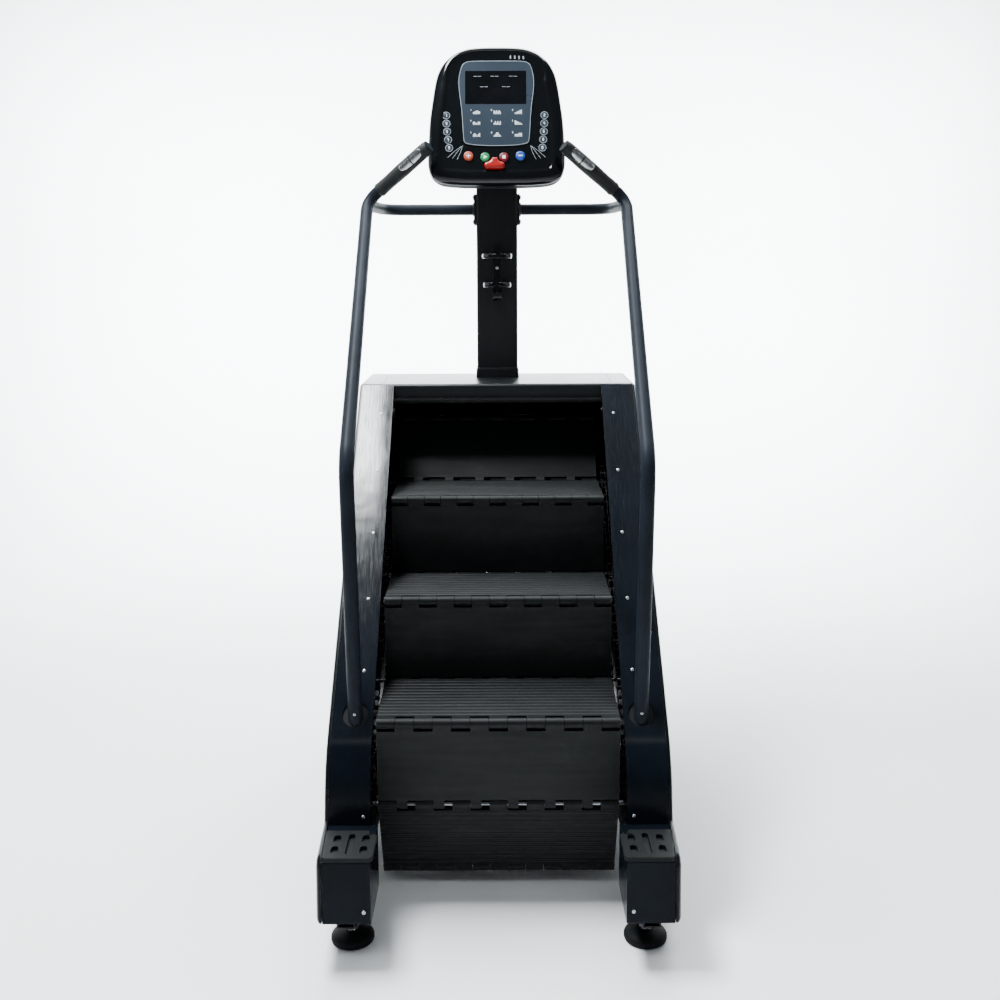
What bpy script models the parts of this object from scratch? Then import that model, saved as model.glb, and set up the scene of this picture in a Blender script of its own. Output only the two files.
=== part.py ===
"""Stair climber: a moving staircase of eight hinged steps between two chains,
with frame, covers, handrails and console.  Metres, +Z up, +Y away from the user,
+X to the user's right.  The floor is Z = 0 and the footprint is centred on X and Y.
"""
import math

import bmesh
import bpy
from mathutils import Vector
from mathutils.geometry import tessellate_polygon

# ---------------------------------------------------------------- stair loop
STEPS = 8
PITCH = 0.3048                       # chain length per step: 12 links of 25.4 mm
RISE = 0.2032
RUN = math.sqrt(PITCH ** 2 - RISE ** 2)
LOOP_R = PITCH / math.pi             # half a sprocket turn is one step
LOOP_C = 3 * PITCH                   # distance between the two shafts
INCLINE = math.atan2(RISE, RUN)
PHASE = -0.0679                      # rest position of corner 0 along the chain
SY = -0.303                          # lower shaft
SZ = 0.246
STEP_HALF = 0.2794
SEGMENTS = 13                        # knuckles across a step
KNUCKLE_R = 0.012
KNUCKLE_GAP = 0.0006
PLATE_TOP = 0.010
PLATE_BOTTOM = -0.003
CORNER_NOTCH = 0.0150
NOSE_NOTCH = 0.0190
CORNER_FINGER = 0.56                 # share of a knuckle bay that a riser's lower finger fills
AXLE_R = 0.0050
BORE_R = 0.0062

# ---------------------------------------------------------------- drive
CHAIN_X = 0.2985
CHAIN_HALF = 0.0065
SPROCKET_TEETH = 24
SHAFT_R = 0.0125
SHAFT_BORE_R = 0.0140
PLATE_X = (0.3125, 0.3165)
PULLEY_R = 0.075
BRAKE_Y = SY + 0.640
BRAKE_Z = 0.330
BRAKE_R = 0.105

# ---------------------------------------------------------------- covers
FASCIA_IN = 0.2890
ENTRY_IN = 0.2720
RIM_TOP = 0.3800
RIM_BOTTOM = 0.3900
TOP_Z = 1.166
REAR_Y = SY + 0.953
FRONT_Y = SY - 0.343
SKIN = 0.004

# ---------------------------------------------------------------- console
CONSOLE_WIDEN = 1.035
CONSOLE_TILT = math.radians(16)
CONSOLE_C = (0.0, SY + 0.655, 1.907)
TUBE_R = 0.0170
GRIP_R = 0.0195

MATERIALS = {
    "powder_coat": ((0.010, 0.012, 0.014), 0.0, 0.38),
    "painted_steel": ((0.008, 0.010, 0.015), 0.0, 0.16),
    "moulded_cover": ((0.012, 0.014, 0.016), 0.0, 0.30),
    "step_aluminium": ((0.014, 0.016, 0.018), 0.6, 0.45),
    "bright_steel": ((0.55, 0.56, 0.58), 1.0, 0.25),
    "chain_steel": ((0.09, 0.09, 0.10), 1.0, 0.35),
    "rubber": ((0.012, 0.012, 0.012), 0.0, 0.75),
    "grip_rubber": ((0.015, 0.016, 0.017), 0.0, 0.60),
    "console_plastic": ((0.006, 0.007, 0.009), 0.0, 0.12),
    "display_overlay": ((0.055, 0.070, 0.090), 0.0, 0.20),
    "key_orange": ((0.80, 0.16, 0.04), 0.0, 0.35),
    "key_green": ((0.05, 0.50, 0.20), 0.0, 0.35),
    "key_red": ((0.45, 0.02, 0.03), 0.0, 0.35),
    "key_blue": ((0.03, 0.16, 0.65), 0.0, 0.35),
    "stop_red": ((0.80, 0.02, 0.01), 0.0, 0.25),
}


# ================================================================ helpers
def clear_scene():
    for item in list(bpy.data.objects):
        bpy.data.objects.remove(item, do_unlink=True)


def make_collection(name):
    group = bpy.data.collections.new(name)
    bpy.context.scene.collection.children.link(group)
    return group


def make_material(name):
    colour, metallic, rough = MATERIALS[name]
    material = bpy.data.materials.new(name)
    material.use_nodes = True
    shader = material.node_tree.nodes["Principled BSDF"]
    shader.inputs["Base Color"].default_value = (*colour, 1.0)
    shader.inputs["Metallic"].default_value = metallic
    shader.inputs["Roughness"].default_value = rough
    return material


def closed_mesh(name, verts, faces):
    """Mesh with every face turned outwards."""
    mesh = bpy.data.meshes.new(name)
    mesh.from_pydata([tuple(v) for v in verts], [], faces)
    shell = bmesh.new()
    shell.from_mesh(mesh)
    bmesh.ops.recalc_face_normals(shell, faces=shell.faces)
    shell.to_mesh(mesh)
    shell.free()
    mesh.update()
    return mesh


def add_part(name, verts, faces, material, origin=(0, 0, 0)):
    mesh = closed_mesh(name, verts, faces)
    mesh.materials.append(PAINT[material])
    obj = bpy.data.objects.new(name, mesh)
    obj.location = origin
    PARTS.objects.link(obj)
    return obj


def add_cutter(name, verts, faces):
    obj = bpy.data.objects.new(name, closed_mesh(name, verts, faces))
    obj.hide_render = True
    obj.display_type = 'WIRE'
    CUTTERS.objects.link(obj)
    return obj


def combine(obj, tool, operation):
    mod = obj.modifiers.new(tool.name, 'BOOLEAN')
    mod.operation = operation
    mod.solver = 'EXACT'
    mod.object = tool


def join_shapes(shapes):
    """Lists of (verts, faces) put side by side in one mesh."""
    verts, faces = [], []
    for shape_verts, shape_faces in shapes:
        base = len(verts)
        verts += list(shape_verts)
        faces += [tuple(i + base for i in face) for face in shape_faces]
    return verts, faces


def box(x, y, z):
    verts = [(a, b, c) for c in z for b in y for a in x]
    faces = [(0, 2, 3, 1), (4, 5, 7, 6), (0, 1, 5, 4), (2, 6, 7, 3), (0, 4, 6, 2), (1, 3, 7, 5)]
    return verts, faces


def area(loop):
    return sum(a[0] * b[1] - b[0] * a[1] for a, b in zip(loop, loop[1:] + loop[:1])) / 2


def prism(outline, low, high, axis, holes=()):
    """A flat outline with holes, extruded along X ('x': outline is (y, z)) or Z ('z': outline is (x, y))."""
    loops = [outline if area(outline) > 0 else outline[::-1]]
    loops += [h if area(h) < 0 else h[::-1] for h in holes]
    flat = [p for loop in loops for p in loop]
    tris = tessellate_polygon([[Vector((p[0], p[1], 0)) for p in loop] for loop in loops])
    count = len(flat)

    def place(p, h):
        return (h, p[0], p[1]) if axis == 'x' else (p[0], p[1], h)

    verts = [place(p, low) for p in flat] + [place(p, high) for p in flat]
    faces = []
    for tri in tris:
        a, b, c = (flat[i] for i in tri)
        turn = (b[0] - a[0]) * (c[1] - a[1]) - (b[1] - a[1]) * (c[0] - a[0])
        up = tuple(tri) if turn > 0 else tuple(reversed(tri))
        faces.append(tuple(i + count for i in up))
        faces.append(tuple(reversed(up)))
    base = 0
    for loop in loops:
        size = len(loop)
        for i in range(size):
            a, b = base + i, base + (i + 1) % size
            faces.append((a, b, b + count, a + count))
        base += size
    return verts, faces


def circle(cy, cz, radius, sides, start=0.0):
    return [(cy + radius * math.cos(start + math.tau * i / sides),
             cz + radius * math.sin(start + math.tau * i / sides)) for i in range(sides)]


def lathe(profile, centre, sides):
    """Closed turned solid about a vertical axis; profile is (r, z) from bottom centre to top centre."""
    verts, faces, rings = [], [], []
    for r, z in profile:
        if r < 1e-6:
            rings.append([len(verts)])
            verts.append((centre[0], centre[1], z))
        else:
            rings.append(list(range(len(verts), len(verts) + sides)))
            verts += [(centre[0] + r * math.cos(math.tau * i / sides),
                       centre[1] + r * math.sin(math.tau * i / sides), z) for i in range(sides)]
    for low, high in zip(rings, rings[1:]):
        for i in range(sides):
            j = (i + 1) % sides
            if len(low) == 1:
                faces.append((low[0], high[j], high[i]))
            elif len(high) == 1:
                faces.append((low[i], low[j], high[0]))
            else:
                faces.append((low[i], low[j], high[j], high[i]))
    return verts, faces


def fillet(points, radius, pieces=4):
    """Polyline with its inner corners rounded by one radius, or by one radius each."""
    pts = [Vector(p) for p in points]
    radii = radius if isinstance(radius, (list, tuple)) else [radius] * (len(pts) - 2)
    out = [pts[0]]
    for prev, here, after, radius in zip(pts, pts[1:], pts[2:], radii):
        back = (prev - here).normalized()
        ahead = (after - here).normalized()
        half = back.angle(ahead) / 2
        reach = min(radius / math.tan(half), 0.45 * (prev - here).length, 0.45 * (after - here).length)
        start, end = here + back * reach, here + ahead * reach
        for i in range(pieces + 1):
            t = i / pieces
            out.append(start * (1 - t) ** 2 + here * 2 * t * (1 - t) + end * t * t)
    out.append(pts[-1])
    return out


def sweep(path, radii, sides, bore=None):
    """Round tube along a path; with bore it is a sleeve open at both ends."""
    path = [Vector(p) for p in path]
    if not isinstance(radii, (list, tuple)):
        radii = [radii] * len(path)
    tangents = []
    for i in range(len(path)):
        a, b = path[max(i - 1, 0)], path[min(i + 1, len(path) - 1)]
        tangents.append((b - a).normalized())
    side = tangents[0].cross(Vector((0, 1, 0)))
    if side.length < 0.1:
        side = tangents[0].cross(Vector((1, 0, 0)))
    verts = []

    def ring(at, tangent, radius, u):
        v = tangent.cross(u)
        return [at + (u * math.cos(math.tau * k / sides) + v * math.sin(math.tau * k / sides)) * radius
                for k in range(sides)]

    frames = []
    for tangent in tangents:
        side = (side - tangent * side.dot(tangent)).normalized()
        frames.append(side.copy())
    for at, tangent, radius, u in zip(path, tangents, radii, frames):
        verts += ring(at, tangent, radius, u)
    count, faces = len(path), []
    for i in range(count - 1):
        for k in range(sides):
            a, b = i * sides + k, i * sides + (k + 1) % sides
            faces.append((a, b, b + sides, a + sides))
    last = (count - 1) * sides
    if bore is None:
        faces.append(tuple(reversed(range(sides))))
        faces.append(tuple(last + k for k in range(sides)))
        return verts, faces
    shift = len(verts)
    for at, tangent, u in zip(path, tangents, frames):
        verts += ring(at, tangent, bore, u)
    for i in range(count - 1):
        for k in range(sides):
            a, b = shift + i * sides + k, shift + i * sides + (k + 1) % sides
            faces.append((b, a, a + sides, b + sides))
    for k in range(sides):
        a, b = k, (k + 1) % sides
        faces.append((b, a, a + shift, b + shift))
        faces.append((last + a, last + b, last + b + shift, last + a + shift))
    return verts, faces


def offset_loop(loop, distance):
    """Each corner of a counter-clockwise loop moved inwards by the same distance."""
    out = []
    for before, here, after in zip(loop[-1:] + loop[:-1], loop, loop[1:] + loop[:1]):
        d1 = (Vector(here) - Vector(before)).normalized()
        d2 = (Vector(after) - Vector(here)).normalized()
        n1, n2 = Vector((-d1.y, d1.x)), Vector((-d2.y, d2.x))
        bisect = (n1 + n2).normalized()
        out.append(tuple(Vector(here) + bisect * (distance / max(bisect.dot(n1), 0.35))))
    return out


def loft(rings, close_start=True, close_end=True):
    """Closed skin through rings of equal size."""
    size = len(rings[0])
    verts = [p for ring in rings for p in ring]
    faces = []
    for i in range(len(rings) - 1):
        for k in range(size):
            a, b = i * size + k, i * size + (k + 1) % size
            faces.append((a, b, b + size, a + size))
    if close_start:
        faces.append(tuple(reversed(range(size))))
    if close_end:
        last = (len(rings) - 1) * size
        faces.append(tuple(last + k for k in range(size)))
    if not close_start and not close_end:
        last = (len(rings) - 1) * size
        for k in range(size):
            a, b = last + k, last + (k + 1) % size
            faces.append((a, b, (k + 1) % size, k))
    return verts, faces


def mirror_x(shape):
    verts, faces = shape
    return [(-v[0], v[1], v[2]) for v in verts], [tuple(reversed(f)) for f in faces]


def both_sides(name, shape, material):
    """The same piece on the user's right (+X) and mirrored on the left."""
    right = add_part(name + "_right", *shape, material)
    left = add_part(name + "_left", *mirror_x(shape), material)
    return right, left


def both_cutters(name, shape):
    return add_cutter(name + "_right", *shape), add_cutter(name + "_left", *mirror_x(shape))


# ================================================================ stair loop
def loop_point(distance):
    """(y, z) on the chain path, measured from the lower front tangent up the front run."""
    total = 2 * LOOP_C + math.tau * LOOP_R
    s = distance % total
    if s < LOOP_C:
        along, out = s, LOOP_R
    elif s < LOOP_C + PITCH:
        a = (s - LOOP_C) / LOOP_R
        along, out = LOOP_C + LOOP_R * math.sin(a), LOOP_R * math.cos(a)
    elif s < 2 * LOOP_C + PITCH:
        along, out = LOOP_C - (s - LOOP_C - PITCH), -LOOP_R
    else:
        a = (s - 2 * LOOP_C - PITCH) / LOOP_R
        along, out = -LOOP_R * math.sin(a), -LOOP_R * math.cos(a)
    return on_incline(along, out)


def on_incline(along, out):
    return (SY + along * math.cos(INCLINE) - out * math.sin(INCLINE),
            SZ + along * math.sin(INCLINE) + out * math.cos(INCLINE))


def corner(k):
    return Vector(loop_point(PHASE + (k % STEPS) * PITCH))


def nose(k):
    """Where tread k meets riser k: RUN from corner k and RISE from corner k - 1."""
    back, low = corner(k), corner(k - 1)
    chord = low - back
    length = chord.length
    foot = (RUN ** 2 + length ** 2 - RISE ** 2) / (2 * length)
    height = math.sqrt(RUN ** 2 - foot ** 2)
    e = chord / length
    middle = Vector(on_incline(LOOP_C / 2, 0))
    options = [back + e * foot + Vector((e.y, -e.x)) * h for h in (height, -height)]
    return max(options, key=lambda p: (p - middle).length)


def finger_spans(first, share=1.0):
    """X spans of every other knuckle across the step."""
    bay = 2 * STEP_HALF / SEGMENTS
    spans = []
    for i in range(first, SEGMENTS, 2):
        x0 = -STEP_HALF + i * bay + KNUCKLE_GAP / 2
        x1 = -STEP_HALF + (i + 1) * bay - KNUCKLE_GAP / 2
        if share < 1.0:
            x1 = x0 + bay * share
        spans.append((x0, x1))
    return spans


def leaf(length, corner_spans, nose_spans, grooves):
    """Hinge leaf along local +Y from its corner axis (bored) to its nose axis (solid knuckles).

    Local +Z is outwards.  Walls, floors of the notches, and bores are built face by face,
    so each leaf is one closed body.
    """
    verts, faces, index = [], [], {}

    def vert(x, y, z):
        key = (round(x, 6), round(y, 6), round(z, 6))
        if key not in index:
            index[key] = len(verts)
            verts.append(key)
        return index[key]

    def face(points):
        faces.append(tuple(vert(*p) for p in points))

    c_top, c_low = (CORNER_NOTCH, PLATE_TOP), (CORNER_NOTCH, PLATE_BOTTOM)
    n_top, n_low = (length - NOSE_NOTCH, PLATE_TOP), (length - NOSE_NOTCH, PLATE_BOTTOM)
    angles = [62, 115, 180, 245, 318]
    round_c = [(KNUCKLE_R * math.cos(math.radians(a)), KNUCKLE_R * math.sin(math.radians(a))) for a in angles]
    round_n = [(length - y, z) for y, z in round_c]
    bore = [(BORE_R * math.cos(math.radians(60 * i)), BORE_R * math.sin(math.radians(60 * i))) for i in range(6)]
    top_line = [c_top]
    for start in grooves:
        for y, z in ((start, PLATE_TOP), (start + 0.0008, PLATE_TOP - 0.0016),
                     (start + 0.0050, PLATE_TOP - 0.0016), (start + 0.0058, PLATE_TOP)):
            top_line.append((y, z))
    top_line.append(n_top)
    x_end = STEP_HALF - KNUCKLE_GAP / 2

    def stops(spans):
        xs = {-x_end, x_end}
        for a, b in spans:
            xs.update((a, b))
        return sorted(xs)

    c_x, n_x = stops(corner_spans), stops(nose_spans)
    # top strips: the first and last carry the knuckle stops on their outer edges
    for i in range(len(top_line) - 1):
        a, b = top_line[i], top_line[i + 1]
        near = c_x if i == 0 else [-x_end, x_end]
        far = n_x if i == len(top_line) - 2 else [-x_end, x_end]
        face([(x, *a) for x in near] + [(x, *b) for x in reversed(far)])
    face([(x, *c_low) for x in reversed(c_x)] + [(x, *n_low) for x in n_x])
    # ends of the plate
    ring = top_line + [n_low, c_low]
    face([(x_end, *p) for p in reversed(ring)])
    face([(-x_end, *p) for p in ring])

    def edge(xs, spans, top, low, knuckle, bored, flip):
        def add(points):
            face(points[::-1] if flip else points)
        for x0, x1 in zip(xs, xs[1:]):
            if (x0, x1) not in spans:
                add([(x0, *top), (x1, *top), (x1, *low), (x0, *low)][::-1])
                continue
            skin = [top] + knuckle + [low]
            for p, q in zip(skin, skin[1:]):
                add([(x0, *p), (x1, *p), (x1, *q), (x0, *q)][::-1])
            for x, turn in ((x0, 1), (x1, -1)):
                if bored:
                    upper = [top, knuckle[0], knuckle[1], knuckle[2], bore[3], bore[2], bore[1], bore[0], low]
                    lower = [low, bore[0], bore[5], bore[4], bore[3], knuckle[2], knuckle[3], knuckle[4]]
                    loops = [upper, lower]
                else:
                    loops = [skin]
                for loop in loops:
                    pts = [(x, *p) for p in loop]
                    add(pts[::turn][::-1])
            if bored:
                for p, q in zip(bore, bore[1:] + bore[:1]):
                    add([(x0, *p), (x1, *p), (x1, *q), (x0, *q)][::-1])

    edge(c_x, set(corner_spans), c_top, c_low, round_c, True, False)
    edge(n_x, set(nose_spans), n_top, n_low, round_n, False, True)
    return verts, faces


def build_stairs():
    tread_fingers, riser_fingers = finger_spans(0), finger_spans(1)
    low_fingers = finger_spans(1, CORNER_FINGER)
    grooves = [0.0282 + 0.0160 * i for i in range(11)]
    for k in range(STEPS):
        apex = nose(k)
        for kind, base, length in (("tread", corner(k), RUN), ("riser", corner(k - 1), RISE)):
            tread = kind == "tread"
            fingers = tread_fingers if tread else riser_fingers
            low = tread_fingers if tread else low_fingers
            shape = leaf(length, low, fingers, grooves if tread else [])
            direction = apex - base
            # a tread runs towards the user, so its outward side is on the other hand
            if tread:
                shape = turn_leaf(shape, direction, -1)
            else:
                shape = turn_leaf(shape, direction, 1)
            add_part("%s_%d" % (kind, k), *shape, "step_aluminium", origin=(0, base.x, base.y))
        c = corner(k)
        reach = CHAIN_X + CHAIN_HALF + 0.0015
        add_part("corner_axle_%d" % k, *prism(circle(0, 0, AXLE_R, 8), -reach, reach, 'x'),
                 "bright_steel", origin=(0, c.x, c.y))


def turn_leaf(shape, direction, hand):
    """Leaf laid along a direction in the (y, z) plane; hand chooses which side is outwards."""
    verts, faces = shape
    d = direction.normalized()
    out = Vector((-d.y, d.x)) * hand
    placed = [(x, y * d.x + z * out.x, y * d.y + z * out.y) for x, y, z in verts]
    if hand < 0:
        faces = [tuple(reversed(f)) for f in faces]
    return placed, faces


def build_chains():
    for name, first, out in (("chain_front", (1, 2, 3), LOOP_R), ("chain_return", (5, 6, 7), -LOOP_R)):
        outline = []
        for along, side in ((0.004, -1), (LOOP_C - 0.004, -1), (LOOP_C - 0.004, 1), (0.004, 1)):
            outline.append(on_incline(along, out + side * 0.0085))
        holes = []
        for k in first:
            c = corner(k)
            holes.append(circle(c.x, c.y, BORE_R, 6))
        both_sides(name, prism(outline, CHAIN_X - CHAIN_HALF, CHAIN_X + CHAIN_HALF, 'x', holes), "chain_steel")


def sprocket_outline():
    root, tip = LOOP_R - 0.0135, LOOP_R - 0.0098
    points = []
    for i in range(SPROCKET_TEETH):
        for step, r in ((0.0, root), (0.5, tip)):
            a = math.tau * (i + step) / SPROCKET_TEETH
            points.append((r * math.cos(a), r * math.sin(a)))
    return points


def build_shafts():
    """Each shaft is one welded assembly: shaft, two sprockets, and a belt pulley on the upper one."""
    for name, at, pulley in (("lower_shaft", (SY, SZ), False), ("upper_shaft", on_incline(LOOP_C, 0), True)):
        shape = prism(circle(0, 0, SHAFT_R, 12), -0.322, 0.350 if pulley else 0.322, 'x')
        obj = add_part(name, *shape, "chain_steel", origin=(0, *at))
        for side in (-1, 1):
            x0, x1 = sorted((side * (CHAIN_X - 0.0035), side * (CHAIN_X + 0.0035)))
            tool = add_cutter("%s_sprocket_%s" % (name, "right" if side > 0 else "left"),
                              *prism(sprocket_outline(), x0, x1, 'x'))
            tool.location = (0, *at)
            combine(obj, tool, 'UNION')
        if pulley:
            tool = add_cutter("belt_pulley", *prism(circle(0, 0, PULLEY_R, 20), 0.3235, 0.3415, 'x'))
            tool.location = (0, *at)
            combine(obj, tool, 'UNION')
    shape = prism(circle(0, 0, 0.025, 12), -0.02, 0.3405, 'x')
    rotor = add_part("brake_rotor", *prism(circle(0, 0, 0.009, 10), 0.309, 0.350, 'x'),
                     "chain_steel", origin=(0, BRAKE_Y, BRAKE_Z))
    for label, radius, x0, x1 in (("disc", BRAKE_R, 0.3445, 0.3625), ("pulley", 0.025, 0.3235, 0.3450)):
        tool = add_cutter("brake_" + label, *prism(circle(0, 0, radius, 20), x0, x1, 'x'))
        tool.location = (0, BRAKE_Y, BRAKE_Z)
        combine(rotor, tool, 'UNION')


# ================================================================ frame
def build_frame():
    upper = on_incline(LOOP_C, 0)
    outline = [(SY - 0.175, 0.060), (SY + 0.900, 0.060), (SY + 0.900, 0.560), (upper[0] + 0.150, 1.060),
               (upper[0] - 0.080, 1.060), (SY - 0.120, 0.340), (SY - 0.175, 0.250)]
    holes = [circle(SY, SZ, SHAFT_BORE_R, 12), circle(*upper, SHAFT_BORE_R, 12),
             circle(BRAKE_Y, BRAKE_Z, 0.0100, 10)]
    both_sides("side_plate", prism(outline, *PLATE_X, 'x', holes), "powder_coat")

    # welded frame: side rails, two cross tubes, uprights and the bridge that carries the column
    rails = [box((-0.358, 0.358), (SY + 0.850, SY + 0.890), (0.0602, 0.1000))]
    frame = add_part("main_frame", *rails[0], "powder_coat")
    low_z, high_z = 0.0450, 0.1000
    pieces = [("cross_tube", (-0.3400, 0.3400), (SY + 0.300, SY + 0.340), (low_z + 0.003, 0.0590))]
    for side, word in ((-1, "left"), (1, "right")):
        x = sorted((side * 0.3190, side * 0.3590))
        pieces.append(("rail_" + word, x, (SY - 0.250, SY + 0.895), (low_z, high_z)))
        pieces.append(("upright_" + word, x, (SY + 0.8020, SY + 0.8420), (0.0900, 1.1200)))
    pieces.append(("bridge", (-0.3595, 0.3595), (SY + 0.7200, SY + 0.8430), (1.0920, 1.1320)))
    for label, x, y, z in pieces:
        combine(frame, add_cutter("frame_" + label, *box(x, y, z)), 'UNION')
    wall = 0.003
    hollows = [("bridge_bore", (-0.3700, 0.3700), (SY + 0.7230, SY + 0.8400), (1.0950, 1.1290))]
    for side, word in ((-1, "left"), (1, "right")):
        x = sorted((side * (0.3190 + wall), side * (0.3590 - wall)))
        hollows.append(("rail_bore_" + word, x, (SY - 0.260, SY + 0.905), (low_z + wall, high_z - wall)))
    for label, x, y, z in hollows:
        combine(frame, add_cutter("frame_" + label, *box(x, y, z)), 'DIFFERENCE')
    # the rear tube crosses the side plates in open notches
    slots = [box((side * 0.3150 - 0.0034, side * 0.3150 + 0.0034), (SY + 0.846, SY + 0.894), (0.0500, 0.1040))
             for side in (-1, 1)]
    return frame, slots


def cut_plate_notches(slots):
    for word, slot in zip(("left", "right"), slots):
        combine(bpy.data.objects["side_plate_" + word], add_cutter("plate_notch_" + word, *slot), 'DIFFERENCE')


# ================================================================ covers
def rim_x(z):
    return RIM_BOTTOM + (RIM_TOP - RIM_BOTTOM) * (z - 0.109) / (TOP_Z - 0.109)


FRONT_LINE = [(0.5545, 1.1640), (-0.1020, 0.4520), (-0.1330, 0.4170), (-0.1560, 0.3750), (-0.1700, 0.3300),
              (-0.1830, 0.2450)]


def side_outline():
    points = [(FRONT_Y, 0.109), (SY - 0.1800, 0.109), (SY + 0.880, 0.109), (REAR_Y, 0.150), (REAR_Y, 1.030),
              (SY + 0.935, 1.085), (SY + 0.843, TOP_Z)]
    points += [(SY + y, z) for y, z in FRONT_LINE[:-1]]
    points[7] = (SY + 0.5560, TOP_Z)
    points += [(SY - 0.1807, 0.2600), (SY - 0.3250, 0.2600), (FRONT_Y, 0.2440)]
    return points


def front_share(y):
    """0 behind the entry box, rising to 1 at the front edge."""
    return min(max((SY - 0.180 - y) / 0.163, 0.0), 1.0)


def build_side_covers():
    loop = side_outline()
    rings = []
    # inset from the outline, bulge beyond the rim, and how far the front edge is turned in
    for inset, bulge, turn_in in ((0.0, -0.0040, 0.0090), (0.0, 0.0010, 0.0090), (0.012, 0.0045, 0.0060),
                                  (0.055, 0.0060, 0.0), (0.058, 0.0030, 0.0), (0.016, 0.0015, 0.0050),
                                  (SKIN, -0.0040, 0.0090)):
        rings.append([(rim_x(z) + bulge - turn_in * front_share(y), y, z) for y, z in offset_loop(loop, inset)])
    size = len(loop)
    verts = [p for ring in rings for p in ring]
    faces = []
    for i in (0, 1, 2):
        for k in range(size):
            a, b = i * size + k, i * size + (k + 1) % size
            faces.append((a, b, b + size, a + size))
    faces.append(tuple(3 * size + k for k in range(size)))
    faces.append(tuple(reversed([4 * size + k for k in range(size)])))
    for i in (4, 5):
        for k in range(size):
            a, b = i * size + k, i * size + (k + 1) % size
            faces.append((a, b, b + size, a + size))
    for k in range(size):
        a, b = 6 * size + k, 6 * size + (k + 1) % size
        faces.append((a, b, (k + 1) % size, k))
    both_sides("side_cover", (verts, faces), "moulded_cover")


def ribbon(line, thickness, low_x, high_x):
    """Bent sheet: a (y, z) line given thickness on its inner side, between two X edges that may vary with z."""
    pts = [Vector(p) for p in line]
    normals = []
    for i in range(len(pts)):
        d = Vector((0, 0))
        if i > 0:
            d += (pts[i] - pts[i - 1]).normalized()
        if i < len(pts) - 1:
            d += (pts[i + 1] - pts[i]).normalized()
        d.normalize()
        edge = (pts[i + 1] - pts[i]) if i < len(pts) - 1 else (pts[i] - pts[i - 1])
        n, m = Vector((-d.y, d.x)), Vector((-edge.y, edge.x)).normalized()
        normals.append(n * (thickness / max(n.dot(m), 0.5)))
    rings = []
    for p, n in zip(pts, normals):
        q = p + n
        rings.append([(low_x(p.y), p.x, p.y), (high_x(p.y), p.x, p.y), (high_x(p.y), q.x, q.y), (low_x(p.y), q.x, q.y)])
    return loft(rings)


def build_fascias():
    """Sloping front panel with the entry box below it, and a hole for the handrail."""
    line = [(SY + y, z) for y, z in FRONT_LINE]
    sheet = ribbon(line, SKIN, lambda z: FASCIA_IN, lambda z: rim_x(z) - 0.0045)
    low = [(SY - 0.1800, 0.109), (SY - 0.1800, 0.2512), (SY - 0.3385, 0.2512), (SY - 0.3385, 0.109)]
    outer = rim_x(0.2) - 0.0048
    right, left = both_sides("front_fascia", sheet, "painted_steel")
    hull = loft([[(ENTRY_IN, y, z) for y, z in low],
                 [(outer - 0.0090 * front_share(y), y, z) for y, z in low]])
    inner = box((ENTRY_IN + SKIN, outer - 0.0130), (SY - 0.3345, SY - 0.184), (0.0900, 0.2470))
    slope = Vector((FRONT_LINE[0][0] - FRONT_LINE[1][0], FRONT_LINE[0][1] - FRONT_LINE[1][1])).normalized()
    centre, normal = Vector((0.3302, SY - 0.0840, 0.4715)), Vector((0, -slope.y, slope.x))
    hole = sweep([centre - normal * 0.05, centre + normal * 0.05], 0.0300, 16)
    for word, obj in (("right", right), ("left", left)):
        place = (lambda s: s) if word == "right" else mirror_x
        combine(obj, add_cutter("entry_box_" + word, *place(hull)), 'UNION')
        combine(obj, add_cutter("entry_hollow_" + word, *place(inner)), 'DIFFERENCE')
        combine(obj, add_cutter("handrail_hole_" + word, *place(hole)), 'DIFFERENCE')


def rounded_slot(cx, cy, width, length):
    r = width / 2
    h = length / 2 - r
    top = [(cx + r * math.cos(a), cy + h + r * math.sin(a)) for a in (0, math.pi / 3, 2 * math.pi / 3, math.pi)]
    return top + [(2 * cx - x, 2 * cy - y) for x, y in top]


def build_entry_pads():
    y0, y1 = SY - 0.3410, SY - 0.2240
    x0, x1, x2 = ENTRY_IN - 0.005, 0.3735, 0.3800
    clear = STEP_HALF + 0.006
    outline = [(x0, y0 + 0.006), (x0 + 0.006, y0), (x1 - 0.006, y0), (x1, y0 + 0.006), (x2, y1), (clear, y1),
               (clear, SY - 0.236), (x0, SY - 0.243)]
    mid_x, mid_y = (x0 + x1) / 2, (y0 + y1) / 2
    holes = [rounded_slot(mid_x, mid_y, 0.014, 0.086)]
    for side in (-1, 1):
        for step in (-1, 1):
            holes.append(rounded_slot(mid_x + side * 0.031, mid_y + step * 0.023, 0.016, 0.030))
    both_sides("entry_pad", prism(outline, 0.2514, 0.2620, 'z', holes), "rubber")


def build_top_and_rear():
    """Top cover with its front header; the column comes up through its opening."""
    half = RIM_TOP - 0.005
    line = [(SY + 0.5570, 1.1220), (SY + 0.5570, 1.1600), (SY + 0.5630, 1.1658), (SY + 0.8430, 1.1658),
            (SY + 0.9300, 1.0900)]
    top = add_part("top_cover", *ribbon(line, -SKIN, lambda z: -half, lambda z: half), "moulded_cover")
    opening = box((-0.0640, 0.0640), (SY + 0.7250, SY + 0.8090), (1.1400, 1.1850))
    combine(top, add_cutter("column_opening", *opening), 'DIFFERENCE')
    header = box((-FASCIA_IN + 0.0003, FASCIA_IN - 0.0003), (SY + 0.5380, SY + 0.5600), (1.1220, 1.1270))
    combine(top, add_cutter("header_lip", *header), 'UNION')
    line = [(SY + 0.9330, 1.0840), (SY + 0.9480, 1.0290), (SY + 0.9480, 0.1600), (SY + 0.9200, 0.1200)]
    rear = ribbon(line, -SKIN, lambda z: -half, lambda z: half)
    add_part("rear_cover", *rear, "moulded_cover")


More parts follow.
